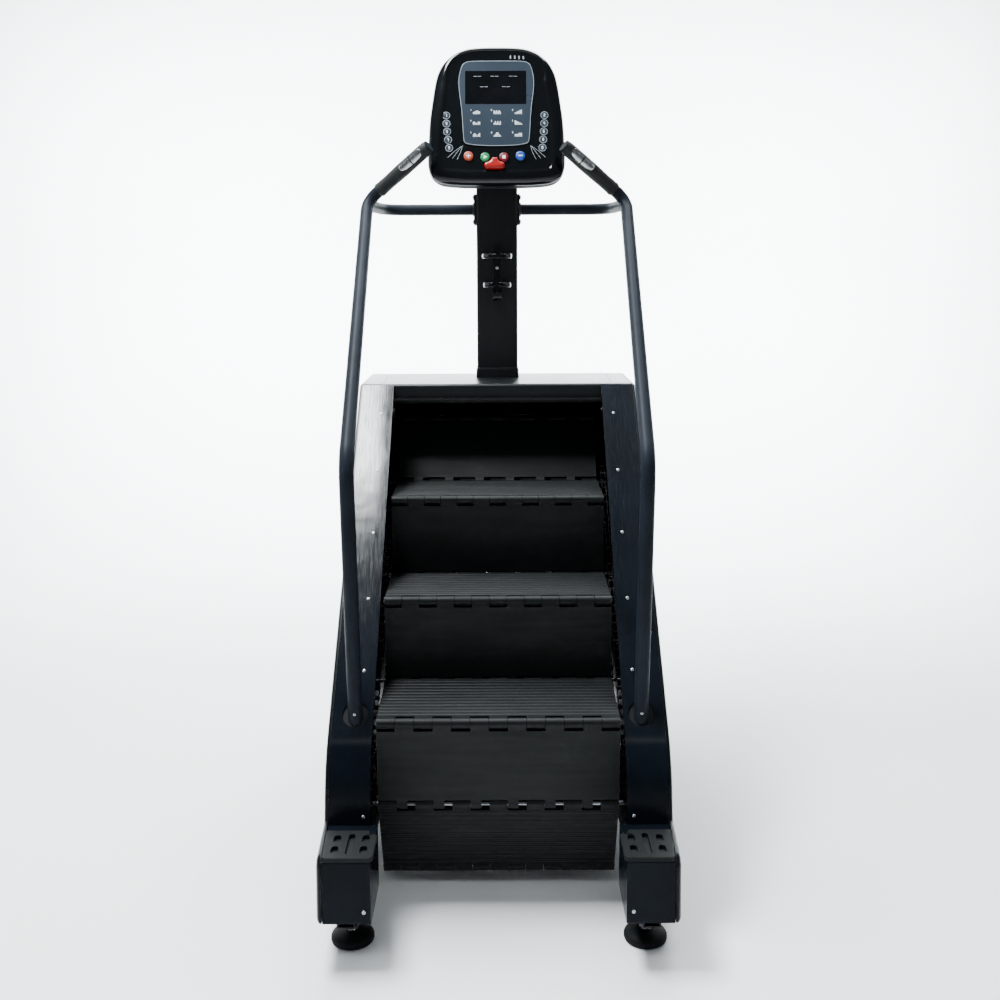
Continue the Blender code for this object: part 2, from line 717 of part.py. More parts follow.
# ================================================================ upper works
def build_feet():
    for name, x, y in (("front_left", -0.3285, SY - 0.2150), ("front_right", 0.3285, SY - 0.2150),
                       ("rear_left", -0.3390, SY + 0.8500), ("rear_right", 0.3390, SY + 0.8500)):
        profile = [(0, 0), (0.0440, 0), (0.0485, 0.006), (0.0470, 0.015), (0.0300, 0.023), (0.0150, 0.026),
                   (0.0150, 0.034), (0.0070, 0.034), (0.0070, 0.0447), (0, 0.0447)]
        add_part("levelling_foot_" + name, *lathe([(r, z) for r, z in profile], (0, 0), 14),
                 "rubber", origin=(x, y, 0))


def rectangle(half, y0, y1):
    return [(-half, y0), (half, y0), (half, y1), (-half, y1)]


def build_column():
    y0, y1 = SY + 0.7300, SY + 0.8000
    half, wall = 0.0595, 0.0030
    bore = rectangle(half - wall, y0 + wall, y1 - wall)
    tube = prism(rectangle(half, y0, y1), 1.1323, 1.8000, 'z', [bore])
    column = add_part("console_column", *tube, "powder_coat")
    boot = prism(rectangle(half + 0.0030, y0 - 0.0030, y1 + 0.0030), 1.1323, 1.1940, 'z',
                 [rectangle(half - wall / 2, y0 + wall / 2, y1 - wall / 2)])
    combine(column, add_cutter("column_boot", *boot), 'UNION')
    hanger = box((-0.0450, 0.0450), (y0 - 0.0270, y0 + 0.0020), (1.7600, 1.8600))
    combine(column, add_cutter("console_hanger", *hanger), 'UNION')


def rail_path():
    return fillet([(0.3300, SY - 0.0830, 0.4480), (0.3365, SY - 0.1100, 1.0630), (0.3620, SY + 0.6250, 1.6730),
                   (0.1830, SY + 0.5550, 1.8180)], (0.10, 0.05), 5)


def build_handrails():
    path = rail_path()
    top = path[-1]
    shape = sweep(path, TUBE_R, 12, bore=TUBE_R - 0.0028)
    right, left = both_sides("handrail", shape, "powder_coat")
    joint = Vector((0.3590, SY + 0.6000, 1.6620))
    arm_path = fillet([joint, (0.3250, SY + 0.7650, 1.6545), (0.0650, SY + 0.7650, 1.6545)], 0.08, 4)
    arm = sweep(arm_path, 0.0160, 12)
    flange = box((0.0598, 0.0668), (SY + 0.7350, SY + 0.7950), (1.6090, 1.6990))
    for word, obj in (("right", right), ("left", left)):
        place = (lambda s: s) if word == "right" else mirror_x
        combine(obj, add_cutter("arm_" + word, *place(arm)), 'UNION')
        combine(obj, add_cutter("arm_flange_" + word, *place(flange)), 'UNION')
    # the moulded grip is a sleeve over the last straight of the tube
    start = path[-2]
    span = top - start
    points = [start + span * t for t in (0.02, 0.06, 0.50, 0.94, 0.985)]
    radii = [TUBE_R + 0.0018, GRIP_R, GRIP_R + 0.0012, GRIP_R, TUBE_R + 0.0018]
    both_sides("grip", sweep(points, radii, 12, bore=TUBE_R / math.cos(math.pi / 12) + 0.0002), "grip_rubber")


def ring_band(centre, radius, wall, height, sides, gap):
    """Upright band with an opening towards the user."""
    outer, inner = [], []
    for i in range(sides + 1):
        a = -math.pi / 2 + gap + (math.tau - 2 * gap) * i / sides
        outer.append((centre[0] + radius * math.cos(a), centre[1] + radius * math.sin(a)))
        inner.append((centre[0] + (radius - wall) * math.cos(a), centre[1] + (radius - wall) * math.sin(a)))
    return prism(outer + inner[::-1], centre[2] - height / 2, centre[2] + height / 2, 'z')


def build_bottle_cage():
    front = SY + 0.7297
    plate = box((-0.0140, 0.0140), (front - 0.0060, front), (1.3900, 1.5500))
    cage = add_part("bottle_cage", *plate, "console_plastic")
    ring = prism(circle(0, front - 0.0440, 0.0430, 24), 1.5130, 1.5270, 'z',
                 [circle(0, front - 0.0440, 0.0385, 24)])
    shapes = [("upper_band", ring),
              ("lower_band", ring_band((0, front - 0.0430, 1.4380), 0.0400, 0.0045, 0.0140, 20, 0.35)),
              ("floor", box((-0.0120, 0.0120), (front - 0.0780, front - 0.0030), (1.3900, 1.3960))),
              ("hook", box((-0.0120, 0.0120), (front - 0.0780, front - 0.0720), (1.3900, 1.4200)))]
    for label, shape in shapes:
        combine(cage, add_cutter("cage_" + label, *shape), 'UNION')


# ---------------------------------------------------------------- console
def console_point(x, v, n):
    """Console plane: x across, v up the face, n out towards the user."""
    t = CONSOLE_TILT
    cx, cy, cz = CONSOLE_C
    return (cx + x, cy + v * math.sin(t) - n * math.cos(t), cz + v * math.cos(t) + n * math.sin(t))


def console_outline():
    """Rounded face, widest low down: half points from bottom centre up the right side."""
    right = [(0.0000, -0.2024), (0.0947, -0.2014), (0.1420, -0.1965), (0.1667, -0.1842),
             (0.1799, -0.1627), (0.1842, -0.1323), (0.1828, -0.0735), (0.1799, -0.0147),
             (0.1742, 0.0343), (0.1676, 0.0833), (0.1600, 0.1196), (0.1477, 0.1470), (0.1307, 0.1686),
             (0.1061, 0.1862), (0.0758, 0.1970), (0.0000, 0.2014)]
    right = [(x * CONSOLE_WIDEN, v) for x, v in right]
    loop = right + [(-x, v) for x, v in reversed(right[1:-1])]
    return loop if area(loop) > 0 else loop[::-1]


def panel_outline(grow=0.0):
    """Overlay: widest above the middle, with rounded corners and a curved bottom edge."""
    right = [(0.0, -0.0950), (0.0500, -0.0935), (0.0800, -0.0880), (0.0900, -0.0800), (0.0940, -0.0500),
             (0.0985, 0.0200), (0.1045, 0.0600), (0.1063, 0.0850), (0.1050, 0.1050), (0.0985, 0.1350),
             (0.0920, 0.1480), (0.0780, 0.1535), (0.0, 0.1550)]
    loop = right + [(-x, v) for x, v in reversed(right[1:-1])]
    if area(loop) < 0:
        loop = loop[::-1]
    return offset_loop(loop, -grow) if grow else loop


KEYS = (("key_orange", -0.0775, -0.1240), ("key_green", -0.0315, -0.1277), ("key_red", 0.0205, -0.1277),
        ("key_blue", 0.0660, -0.1240))
STOP = (-0.0055, -0.1460)


def face_ring(loop, n):
    return [console_point(x, v, n) for x, v in loop]


def to_console(shape):
    """A shape modelled flat, with (x, y) as (x, v) and z as n, moved onto the console face."""
    verts, faces = shape
    return [console_point(*v) for v in verts], faces


def stop_outline(grow=0.0):
    half = [(0.0, -0.0160), (0.0200, -0.0155), (0.0280, -0.0090), (0.0275, -0.0020), (0.0190, 0.0030),
            (0.0100, 0.0080), (0.0085, 0.0140), (0.0, 0.0160)]
    loop = half + [(-x, v) for x, v in reversed(half[1:-1])]
    return [(STOP[0] + x, STOP[1] + v) for x, v in (offset_loop(loop, -grow) if grow else loop)]


def build_console():
    outline = console_outline()
    outer = [face_ring(offset_loop(outline, i), n) for i, n in ((0.030, -0.0620), (0.010, -0.0420), (0.0, -0.0200),
                                                               (0.0, -0.0005))]
    inner = [face_ring(offset_loop(outline, i), n) for i, n in ((0.004, -0.0005), (0.004, -0.0200), (0.014, -0.0400),
                                                               (0.034, -0.0580))]
    size = len(outline)
    verts, faces = loft(outer + inner, close_start=True, close_end=True)
    back = add_part("console_housing", verts, faces, "console_plastic")
    opening = box((-0.0470, 0.0470), (SY + 0.6900, SY + 0.8200), (1.7000, 1.8620))
    combine(back, add_cutter("hanger_opening", *opening), 'DIFFERENCE')

    rings = [face_ring(outline, 0.0), face_ring(outline, 0.0140), face_ring(offset_loop(outline, 0.006), 0.0210),
             face_ring(offset_loop(outline, 0.016), 0.0240)]
    bezel = add_part("console_bezel", *loft(rings), "console_plastic")
    tools = [("panel_recess", prism(panel_outline(0.0006), 0.0205, 0.0400, 'z'))]
    tools += [(name + "_pocket", prism(circle(x, v, 0.0142, 14), 0.0160, 0.0400, 'z')) for name, x, v in KEYS]
    tools.append(("stop_pocket", prism(stop_outline(0.0010), 0.0140, 0.0400, 'z')))
    for label, shape in tools:
        combine(bezel, add_cutter(label, *to_console(shape)), 'DIFFERENCE')

    panel = prism(panel_outline(), 0.0208, 0.0246, 'z')
    add_part("display_panel", *to_console(panel), "display_overlay")
    for name, x, v in KEYS:
        verts, faces = lathe([(0, 0.0190), (0.0134, 0.0190), (0.0134, 0.0258), (0.0112, 0.0272), (0, 0.0276)],
                             (x, v), 14)
        add_part(name, *to_console((verts, faces)), name)
    rings = [[(x, v, n) for x, v in offset_loop(stop_outline(), i)] for i, n in ((0.0, 0.0190), (0.0, 0.0300),
                                                                                (0.002, 0.0345))]
    add_part("emergency_stop", *to_console(loft(rings)), "stop_red")


# ================================================================ build
clear_scene()
PARTS = make_collection("stair_climber")
CUTTERS = make_collection("cutters")
CUTTERS.hide_render = True
PAINT = {name: make_material(name) for name in MATERIALS}

build_stairs()
build_chains()
build_shafts()
notches = build_frame()[1]
cut_plate_notches(notches)
build_side_covers()
build_fascias()
build_entry_pads()
build_top_and_rear()
build_feet()
build_column()
build_handrails()
build_bottle_cage()
build_console()
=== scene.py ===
import math

import bmesh
import bpy
from mathutils import Matrix, Vector
from mathutils.geometry import tessellate_polygon


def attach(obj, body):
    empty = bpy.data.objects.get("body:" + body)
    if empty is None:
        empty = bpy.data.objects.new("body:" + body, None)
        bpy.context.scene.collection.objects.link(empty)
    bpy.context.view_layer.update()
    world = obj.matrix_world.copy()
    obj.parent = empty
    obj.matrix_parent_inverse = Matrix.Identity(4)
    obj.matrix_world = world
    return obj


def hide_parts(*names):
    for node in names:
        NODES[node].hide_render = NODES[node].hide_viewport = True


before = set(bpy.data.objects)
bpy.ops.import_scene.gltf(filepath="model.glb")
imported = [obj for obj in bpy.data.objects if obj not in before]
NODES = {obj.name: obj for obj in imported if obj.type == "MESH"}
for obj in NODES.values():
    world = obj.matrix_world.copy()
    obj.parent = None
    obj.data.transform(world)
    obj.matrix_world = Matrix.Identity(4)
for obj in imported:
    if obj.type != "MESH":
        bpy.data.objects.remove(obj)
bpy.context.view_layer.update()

# ---------------------------------------------------------------- sizes shared with the CAD, in metres
STEPS = 8
PITCH = 0.3048
RISE = 0.2032
RUN = math.sqrt(PITCH ** 2 - RISE ** 2)
LOOP_R = PITCH / math.pi
LOOP_C = 3 * PITCH
INCLINE = math.atan2(RISE, RUN)
PHASE = -0.0679
SY = -0.303
SZ = 0.246
STEP_HALF = 0.2794
SEGMENTS = 13
KNUCKLE_R = 0.012
KNUCKLE_GAP = 0.001
BORE_R = 0.0058
BORE_SIDES = 20
PLATE_TOP = 0.01
PLATE_BOTTOM = -0.003
CORNER_NOTCH = 0.0136
NOSE_NOTCH = 0.0136
MOVING_NOTCH = 0.0152
CORNER_FINGER = 0.56
CHAIN_X = 0.2985
LINK = 0.0254
FASCIA_IN = 0.289
ENTRY_IN = 0.272
RIM_TOP = 0.38
RIM_BOTTOM = 0.39
COVER_BOTTOM = 0.109
TOP_Z = 1.166
REAR_Y = SY + 0.953
BOX_Y = SY - 0.18
SKIN = 0.004
FACE_HALF = RIM_TOP - 0.005
ARM_Y = SY + 0.765
ARM_Z = 1.6545
ARM_R = 0.016
TUBE_R = 0.017
CONSOLE_TILT = math.radians(16)
CONSOLE_C = (0.0, SY + 0.655, 1.907)
CONSOLE_WIDEN = 1.035
FACE_N = 0.0212
ON_PANEL = 0.0238
PRINT_LIFT = 0.00022


# ================================================================ materials
class Nodes:
    """Small builder for one material's node tree."""

    def __init__(self, name):
        self.material = bpy.data.materials.new(name)
        self.material.use_nodes = True
        self.tree = self.material.node_tree
        self.shader = self.tree.nodes["Principled BSDF"]
        self.where = self.add("ShaderNodeTexCoord", "Object", {}, {})

    def add(self, kind, output, values, links):
        """A new node with some inputs set and some linked; gives back one of its outputs."""
        node = self.tree.nodes.new(kind)
        for key, value in values.items():
            node.inputs[key].default_value = value
        for key, source in links.items():
            self.tree.links.new(source, node.inputs[key])
        return node.outputs[output]

    def noise(self, scale, detail=3.0, stretch=(1, 1, 1), rough=0.5):
        place = self.add("ShaderNodeMapping", "Vector", {"Scale": stretch}, {"Vector": self.where})
        values = {"Scale": scale, "Detail": detail, "Roughness": rough}
        return self.add("ShaderNodeTexNoise", "Fac", values, {"Vector": place})

    def cells(self, scale):
        return self.add("ShaderNodeTexVoronoi", "Distance", {"Scale": scale}, {"Vector": self.where})

    def axis(self, name):
        return self.add("ShaderNodeSeparateXYZ", name, {}, {"Vector": self.where})

    def spread(self, value, low, high, start=0.3, end=0.7):
        """A value between start and end put between low and high."""
        limits = {"From Min": start, "From Max": end, "To Min": low, "To Max": high}
        return self.add("ShaderNodeMapRange", "Result", limits, {"Value": value})

    def ramp(self, value, stops):
        node = self.tree.nodes.new("ShaderNodeValToRGB")
        ramp = node.color_ramp
        while len(ramp.elements) < len(stops):
            ramp.elements.new(0.5)
        for element, (at, colour) in zip(ramp.elements, stops):
            element.position = at
            element.color = (*colour, 1.0)
        self.tree.links.new(value, node.inputs["Fac"])
        return node.outputs["Color"]

    def bump(self, value, height, after=None):
        links = {"Height": value}
        if after is not None:
            links["Normal"] = after
        return self.add("ShaderNodeBump", "Normal", {"Strength": 1.0, "Distance": height}, links)

    def set(self, **values):
        for key, value in values.items():
            self.shader.inputs[key.replace("_", " ")].default_value = value

    def feed(self, **sources):
        for key, source in sources.items():
            self.tree.links.new(source, self.shader.inputs[key.replace("_", " ")])


def surface(label, tone, stops, gloss, rough, **sockets):
    """Colour stops along one noise and a roughness range along another, both given by their settings."""
    n = Nodes(label)
    n.feed(Base_Color=n.ramp(n.noise(*tone), stops), Roughness=n.spread(n.noise(*gloss), *rough))
    n.set(**sockets)
    return n


def painted(label, colour, rough, grain, height, coat=0.0, specular=0.5, wear=0.25):
    """Paint or moulding: slight tone drift, patchy gloss and a fine surface grain."""
    dark, light = (tuple(c * factor for c in colour) for factor in (1 - wear, 1 + wear))
    n = surface(label, (7.0, 4.0), [(0.3, dark), (0.72, light)], (24.0,), (rough * 0.94, rough * 1.07),
                Specular_IOR_Level=specular, Coat_Weight=coat, Coat_Roughness=0.06)
    n.feed(Normal=n.bump(n.noise(grain, 2.0), height))
    return n


def fade(low, high):
    return [(0.3, low), (0.7, high)]


# label, colour, roughness, grain scale and height, coat, specular level
PAINTS = {"powder_coat": ("powder_coat_satin", (0.0034, 0.0044, 0.005), 0.4, 1500, 0.0001, 0.0, 0.26),
          # the rails' blue-grey base colour is partly their paint and partly painted sheen, standing in for
          # the reflection that their low specular level leaves out
          "rail_paint": ("rail_blue_black_satin_painted_sheen", (0.0095, 0.0122, 0.0175), 0.46, 1500, 0.0001, 0.0, 0.05),
          "console_back": ("console_back_satin", (0.0044, 0.0056, 0.0066), 0.46, 1200, 0.00006, 0.0, 0.03),
          "rubber": ("rubber_matte", (0.0036, 0.0046, 0.005), 0.66, 700, 0.00018, 0.0, 0.12),
          "console_plastic": ("console_gloss", (0.0016, 0.0022, 0.0028), 0.12, 900, 0.00002, 0.05, 0.28)}
BUTTONS = {"key_orange": (0.3, 0.045, 0.018), "key_green": (0.008, 0.15, 0.045),
           "key_red": (0.11, 0.005, 0.007), "key_blue": (0.006, 0.05, 0.26),
           "stop_red": (0.24, 0.002, 0.001)}
PRINTS = {"print": ("print_white", (0.62, 0.66, 0.7), (0.8, 0.83, 0.86)),
          "print_soft": ("print_soft", (0.24, 0.27, 0.3), (0.34, 0.38, 0.41)),
          "print_faint": ("print_faint", (0.16, 0.18, 0.2), (0.24, 0.26, 0.29))}


def moulded_cover():
    """Grained moulding with painted shade along the front edge: its sheen is held down there and grows
    towards the side.
    """
    tones = [(0.3, (0.0026, 0.0033, 0.0038)), (0.72, (0.0042, 0.0055, 0.0062))]
    n = surface("moulded_cover_grain", (7.0, 4.0), tones, (9.0,), (0.27, 0.31))
    # painted shade: the specular level is low at the front edge and rises towards the side
    n.feed(Normal=n.bump(n.noise(1900, 2.0), 0.00006),
           Specular_IOR_Level=n.spread(n.axis("Y"), 0.06, 0.3, SY - 0.17, SY + 0.2))
    return n


def painted_steel():
    """Gloss paint over drawn sheet, brighter towards the top of the panel: its reflection is a painted
    highlight near the top and painted shade low down.
    """
    drawn = (60.0, 6.0, (6.0, 0.35, 0.35))
    n = surface("fascia_gloss_paint", (6.0, 4.0), fade((0.0022, 0.0032, 0.005), (0.004, 0.0056, 0.0088)),
                drawn, (0.13, 0.24))
    # painted highlight and shade: the specular level rises with height, from 0.04 low on the panel to 0.5 at
    # the top
    n.feed(Normal=n.bump(n.noise(*drawn), 0.0001, n.bump(n.noise(9.0, 2.0), 0.0014)),
           Specular_IOR_Level=n.spread(n.axis("Z"), 0.04, 0.5, 0.5, 1.04))
    return n


def step_aluminium():
    """Black anodised extrusion, streaked along the step and scuffed lighter in patches."""
    streak = (90.0, 5.0, (0.06, 1.0, 1.0))
    tones = [(0.35, (0.0024, 0.0031, 0.0033)), (0.62, (0.0042, 0.0053, 0.0056)),
             (0.8, (0.0105, 0.012, 0.0125))]
    n = surface("step_black_anodised", (11.0, 6.0, (1.0, 1.6, 1.6), 0.65), tones, streak, (0.4, 0.6),
                Metallic=0.05, Specular_IOR_Level=0.14)
    n.feed(Normal=n.bump(n.noise(*streak), 0.00008, n.bump(n.noise(1400, 2.0), 0.00004)))
    return n


def grip_rubber():
    """Soft touch rubber with fine dimples."""
    n = surface("grip_soft_touch", (18.0, 4.0), fade((0.004, 0.0048, 0.0052), (0.007, 0.008, 0.0086)),
                (50.0,), (0.52, 0.68), Specular_IOR_Level=0.25)
    n.feed(Normal=n.bump(n.spread(n.cells(420.0), 0.0, 1.0, 0.0, 0.5), 0.00025))
    return n


def display_overlay():
    n = surface("overlay_blue_grey", (5.0, 1.0, (1.0, 0.6, 1.6)),
                fade((0.015, 0.022, 0.033), (0.0185, 0.027, 0.039)), (12.0, 1.0), (0.27, 0.3, 0.2, 0.8),
                Specular_IOR_Level=0.3, Coat_Weight=0.05, Coat_Roughness=0.1)
    n.feed(Normal=n.bump(n.noise(2200, 1.0), 0.00001))
    return n


def make_materials():
    # chain tones: near black, partly the oil on the steel and partly painted shade of the gaps the chain runs
    # in; the lightest stop paints small glints
    oil_shade_and_glint_tones = [(0.35, (0.006, 0.006, 0.006)), (0.62, (0.02, 0.02, 0.021)), (0.82, (0.12, 0.12, 0.125))]
    brushed = (300.0, 4.0, (1.0, 0.08, 0.08))
    made = {
        "moulded_cover": moulded_cover(),
        "painted_steel": painted_steel(),
        "step_aluminium": step_aluminium(),
        "grip_rubber": grip_rubber(),
        "display_overlay": display_overlay(),
        "bright_steel": surface("bright_rod_steel", (24.0,), fade((0.16, 0.17, 0.18), (0.34, 0.35, 0.37)),
                                (160.0, 4.0, (1.0, 0.1, 0.1)), (0.12, 0.24), Metallic=1.0),
        # oiled steel darkened with painted shade and flecked with painted glints
        "chain_steel": surface("chain_oiled_steel", (55.0, 5.0), oil_shade_and_glint_tones, (55.0, 5.0), (0.24, 0.52),
                               Metallic=1.0),
        "pulse_plate": surface("pulse_plate_brushed", brushed, fade((0.3, 0.31, 0.32), (0.5, 0.51, 0.52)),
                               brushed, (0.14, 0.28), Metallic=1.0),
        "window": surface("display_window_black", (9.0, 2.0),
                          fade((0.0016, 0.0018, 0.0024), (0.003, 0.0034, 0.0044)), (22.0,), (0.06, 0.12),
                          Specular_IOR_Level=0.2),
        "screw": surface("zinc_screw", (300.0,), fade((0.3, 0.31, 0.33), (0.62, 0.64, 0.67)), (500.0, 2.0),
                         (0.2, 0.38), Metallic=1.0),
        "floor": surface("studio_floor", (1.2,), fade((0.8, 0.81, 0.815), (0.82, 0.825, 0.83)), (3.0, 2.0),
                         (0.62, 0.72)),
    }
    for key, row in PAINTS.items():
        made[key] = painted(*row)
    for key, colour in BUTTONS.items():
        made[key] = painted(key + "_plastic", colour, 0.34, 900, 0.00002, 0.1, 0.35, 0.1)
    for key, (label, low, high) in PRINTS.items():
        made[key] = surface(label, (260.0, 2.0), fade(low, high), (80.0, 2.0), (0.3, 0.42))
    return {key: n.material for key, n in made.items()}


MAT = make_materials()


# ================================================================ mesh helpers
def mesh_object(name, shape):
    """An object in the scene from (verts, faces), with its faces turned outwards."""
    verts, faces = shape
    mesh = bpy.data.meshes.new(name)
    mesh.from_pydata([tuple(v) for v in verts], [], faces)
    work = bmesh.new()
    work.from_mesh(mesh)
    bmesh.ops.recalc_face_normals(work, faces=work.faces)
    work.to_mesh(mesh)
    work.free()
    obj = bpy.data.objects.new(name, mesh)
    bpy.context.scene.collection.objects.link(obj)
    return obj


def smooth(mesh, angle):
    mesh.polygons.foreach_set("use_smooth", [True] * len(mesh.polygons))
    mesh.set_sharp_from_angle(angle=math.radians(angle))


def piece(name, shape, material, body="frame", slot=None, bevel=0.0, steps=2, angle=34.0, replaces=()):
    """One mesh from (verts, faces), shaded, riding on a CAD body and standing for the named nodes."""
    obj = mesh_object(name, shape)
    obj.data.materials.append(MAT[material])
    smooth(obj.data, angle)
    if bevel:
        mod = obj.modifiers.new("edge", 'BEVEL')
        mod.width = bevel
        mod.segments = steps
        mod.limit_method = 'ANGLE'
        mod.angle_limit = math.radians(angle)
        mod.harden_normals = True
    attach(obj, body)
    if replaces:
        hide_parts(*replaces)
    return obj


def join(shapes):
    verts, faces = [], []
    for shape_verts, shape_faces in shapes:
        base = len(verts)
        verts += list(shape_verts)
        faces += [tuple(i + base for i in face) for face in shape_faces]
    return verts, faces


def box(x, y, z):
    verts = [(a, b, c) for c in z for b in y for a in x]
    faces = [(0, 2, 3, 1), (4, 5, 7, 6), (0, 1, 5, 4), (2, 6, 7, 3), (0, 4, 6, 2), (1, 3, 7, 5)]
    return verts, faces


def area(loop):
    return sum(a[0] * b[1] - b[0] * a[1] for a, b in zip(loop, loop[1:] + loop[:1])) / 2


def bridge(low, high):
    """Faces between two closed rings of vertex numbers."""
    return [(low[i - 1], low[i], high[i], high[i - 1]) for i in range(len(low))]


def prism(outline, low, high, axis='z', holes=()):
    """A flat outline with holes, extruded along one axis; its points are the other two axes in order."""
    loops = [outline if area(outline) > 0 else outline[::-1]]
    loops += [h if area(h) < 0 else h[::-1] for h in holes]
    flat = [p for loop in loops for p in loop]
    count = len(flat)
    order = {'x': (2, 0, 1), 'y': (0, 2, 1), 'z': (0, 1, 2)}[axis]
    verts = [tuple((*p[:2], level)[i] for i in order) for level in (low, high) for p in flat]
    caps = [tuple(range(count))]
    if holes:
        caps = tessellate_polygon([[Vector((*p, 0)) for p in loop] for loop in loops])
    faces = []
    for cap in caps:
        faces += [tuple(reversed(cap)), tuple(i + count for i in cap)]
    base = 0
    for loop in loops:
        ring = range(base, base + len(loop))
        faces += bridge(ring, [i + count for i in ring])
        base += len(loop)
    return verts, faces


def circle(cx, cy, radius, sides):
    turns = [math.tau * i / sides for i in range(sides)]
    return [(cx + radius * math.cos(a), cy + radius * math.sin(a)) for a in turns]


def lathe(profile, centre, sides=48):
    """(radius, height) points turned about an upright axis; a radius of 0 is a pole."""
    verts, faces, rings = [], [], []
    for r, z in profile:
        ring = circle(*centre, r, sides) if r else [centre]
        rings.append(range(len(verts), len(verts) + len(ring)))
        verts += [(x, y, z) for x, y in ring]
    for low, high in zip(rings, rings[1:]):
        for i in range(sides):
            j = (i + 1) % sides
            corners = [ring[k % len(ring)] for ring, k in ((low, i), (low, j), (high, j), (high, i))]
            faces.append(tuple(dict.fromkeys(corners)))
    return verts, faces


def each(value, count):
    return value if isinstance(value, (list, tuple)) else [value] * count


def rounded_corner(before, here, after, radius, pieces):
    """Curve in place of a corner, or the corner itself where it is sharp or nearly straight."""
    back, ahead = (before - here).normalized(), (after - here).normalized()
    half = max(back.angle(ahead) / 2, 0.05)
    if radius <= 0 or half > math.pi / 2 - 0.02:
        return [here]
    reach = min(radius / math.tan(half), 0.45 * (before - here).length, 0.45 * (after - here).length)
    start, end = here + back * reach, here + ahead * reach
    return [start * (1 - t) ** 2 + here * 2 * t * (1 - t) + end * t * t
            for t in (i / pieces for i in range(pieces + 1))]


def fillet(points, radius, pieces=10):
    """Polyline with its inner corners rounded by one radius, or by one radius each."""
    pts = [Vector(p) for p in points]
    out = pts[:1]
    for before, here, after, r in zip(pts, pts[1:], pts[2:], each(radius, len(pts) - 2)):
        out += rounded_corner(before, here, after, r, pieces)
    return out + pts[-1:]


def round_loop(loop, radius, pieces=6):
    """Closed outline with its corners rounded by one radius, or by one radius each."""
    pts = [Vector(p) for p in loop]
    out = []
    for before, here, after, r in zip(pts[-1:] + pts[:-1], pts, pts[1:] + pts[:1], each(radius, len(pts))):
        out += [tuple(p) for p in rounded_corner(before, here, after, r, pieces)]
    return out


def loft(rings, ring_join=False):
    """Skin over rings of one size, closed at both ends or joined end to end."""
    size = len(rings[0])
    numbers = [range(i * size, (i + 1) * size) for i in range(len(rings))]
    faces = []
    for low, high in zip(numbers, numbers[1:]):
        faces += bridge(low, high)
    if ring_join:
        faces += bridge(numbers[-1], numbers[0])
    else:
        faces += [tuple(reversed(numbers[0])), tuple(numbers[-1])]
    return [p for ring in rings for p in ring], faces


def sweep(path, radii, sides=28, bore=None):
    """Round tube along a path, closed at both ends; with bore it is an open sleeve."""
    path = [Vector(p) for p in path]
    tangents = [(b - a).normalized() for a, b in zip(path[:1] + path, path[1:] + path[-1:])]
    side = tangents[0].cross(Vector((0, 1, 0)))
    if side.length < 0.1:
        side = tangents[0].cross(Vector((1, 0, 0)))
    skin, inner = [], []
    for at, tangent, radius in zip(path, tangents, each(radii, len(path))):
        side = (side - tangent * side.dot(tangent)).normalized()
        spokes = [side * c + tangent.cross(side) * s for c, s in circle(0, 0, 1, sides)]
        skin.append([at + spoke * radius for spoke in spokes])
        inner.append([at + spoke * (bore or 0) for spoke in spokes])
    return loft(skin) if bore is None else loft(skin + inner[::-1], ring_join=True)


def offset_loop(loop, distance):
    """Each corner of a counter-clockwise loop moved inwards by the same distance."""
    out = []
    for before, here, after in zip(loop[-1:] + loop[:-1], loop, loop[1:] + loop[:1]):
        d1 = (Vector(here) - Vector(before)).normalized()
        d2 = (Vector(after) - Vector(here)).normalized()
        n1, n2 = Vector((-d1.y, d1.x)), Vector((-d2.y, d2.x))
        bisect = (n1 + n2).normalized()
        out.append(tuple(Vector(here) + bisect * (distance / max(bisect.dot(n1), 0.35))))
    return out


def spline_span(a, b, c, d, pieces):
    """Points from b up to c on the Catmull-Rom curve through four points."""
    square, cube = 2 * a - 5 * b + 4 * c - d, 3 * b - a - 3 * c + d
    return [0.5 * (2 * b + (c - a) * t + square * t ** 2 + cube * t ** 3)
            for t in (j / pieces for j in range(pieces))]


def spline_loop(loop, pieces=6):
    """Closed smooth curve through a loop's points."""
    pts = [Vector(p) for p in loop]
    spans = zip(pts[-1:] + pts, pts, pts[1:] + pts[:1], pts[2:] + pts[:2])
    return [tuple(p) for span in spans for p in spline_span(*span, pieces)]


def mirrored(half):
    """Closed loop from its right half, which starts and ends on the centre line."""
    return half + [(-x, v) for x, v in reversed(half[1:-1])]


def mirror_x(shape):
    verts, faces = shape
    return [(-v[0], v[1], v[2]) for v in verts], [tuple(reversed(f)) for f in faces]


def both_sides(name, shape, material, node=None, **looks):
    for word, made in (("right", shape), ("left", mirror_x(shape))):
        stands = (node + "_" + word,) if node else ()
        piece(name + "_" + word, made, material, replaces=stands, **looks)


def on_disc(centre, normal, shape):
    """A shape modelled about +Z at the origin, put on a point with its +Z along a normal."""
    z = Vector(normal).normalized()
    x = z.cross(Vector((0, 0, 1)))
    x = Vector((1, 0, 0)) if x.length < 0.1 else x.normalized()
    y = z.cross(x)
    verts, faces = shape
    return [tuple(Vector(centre) + x * v[0] + y * v[1] + z * v[2]) for v in verts], faces


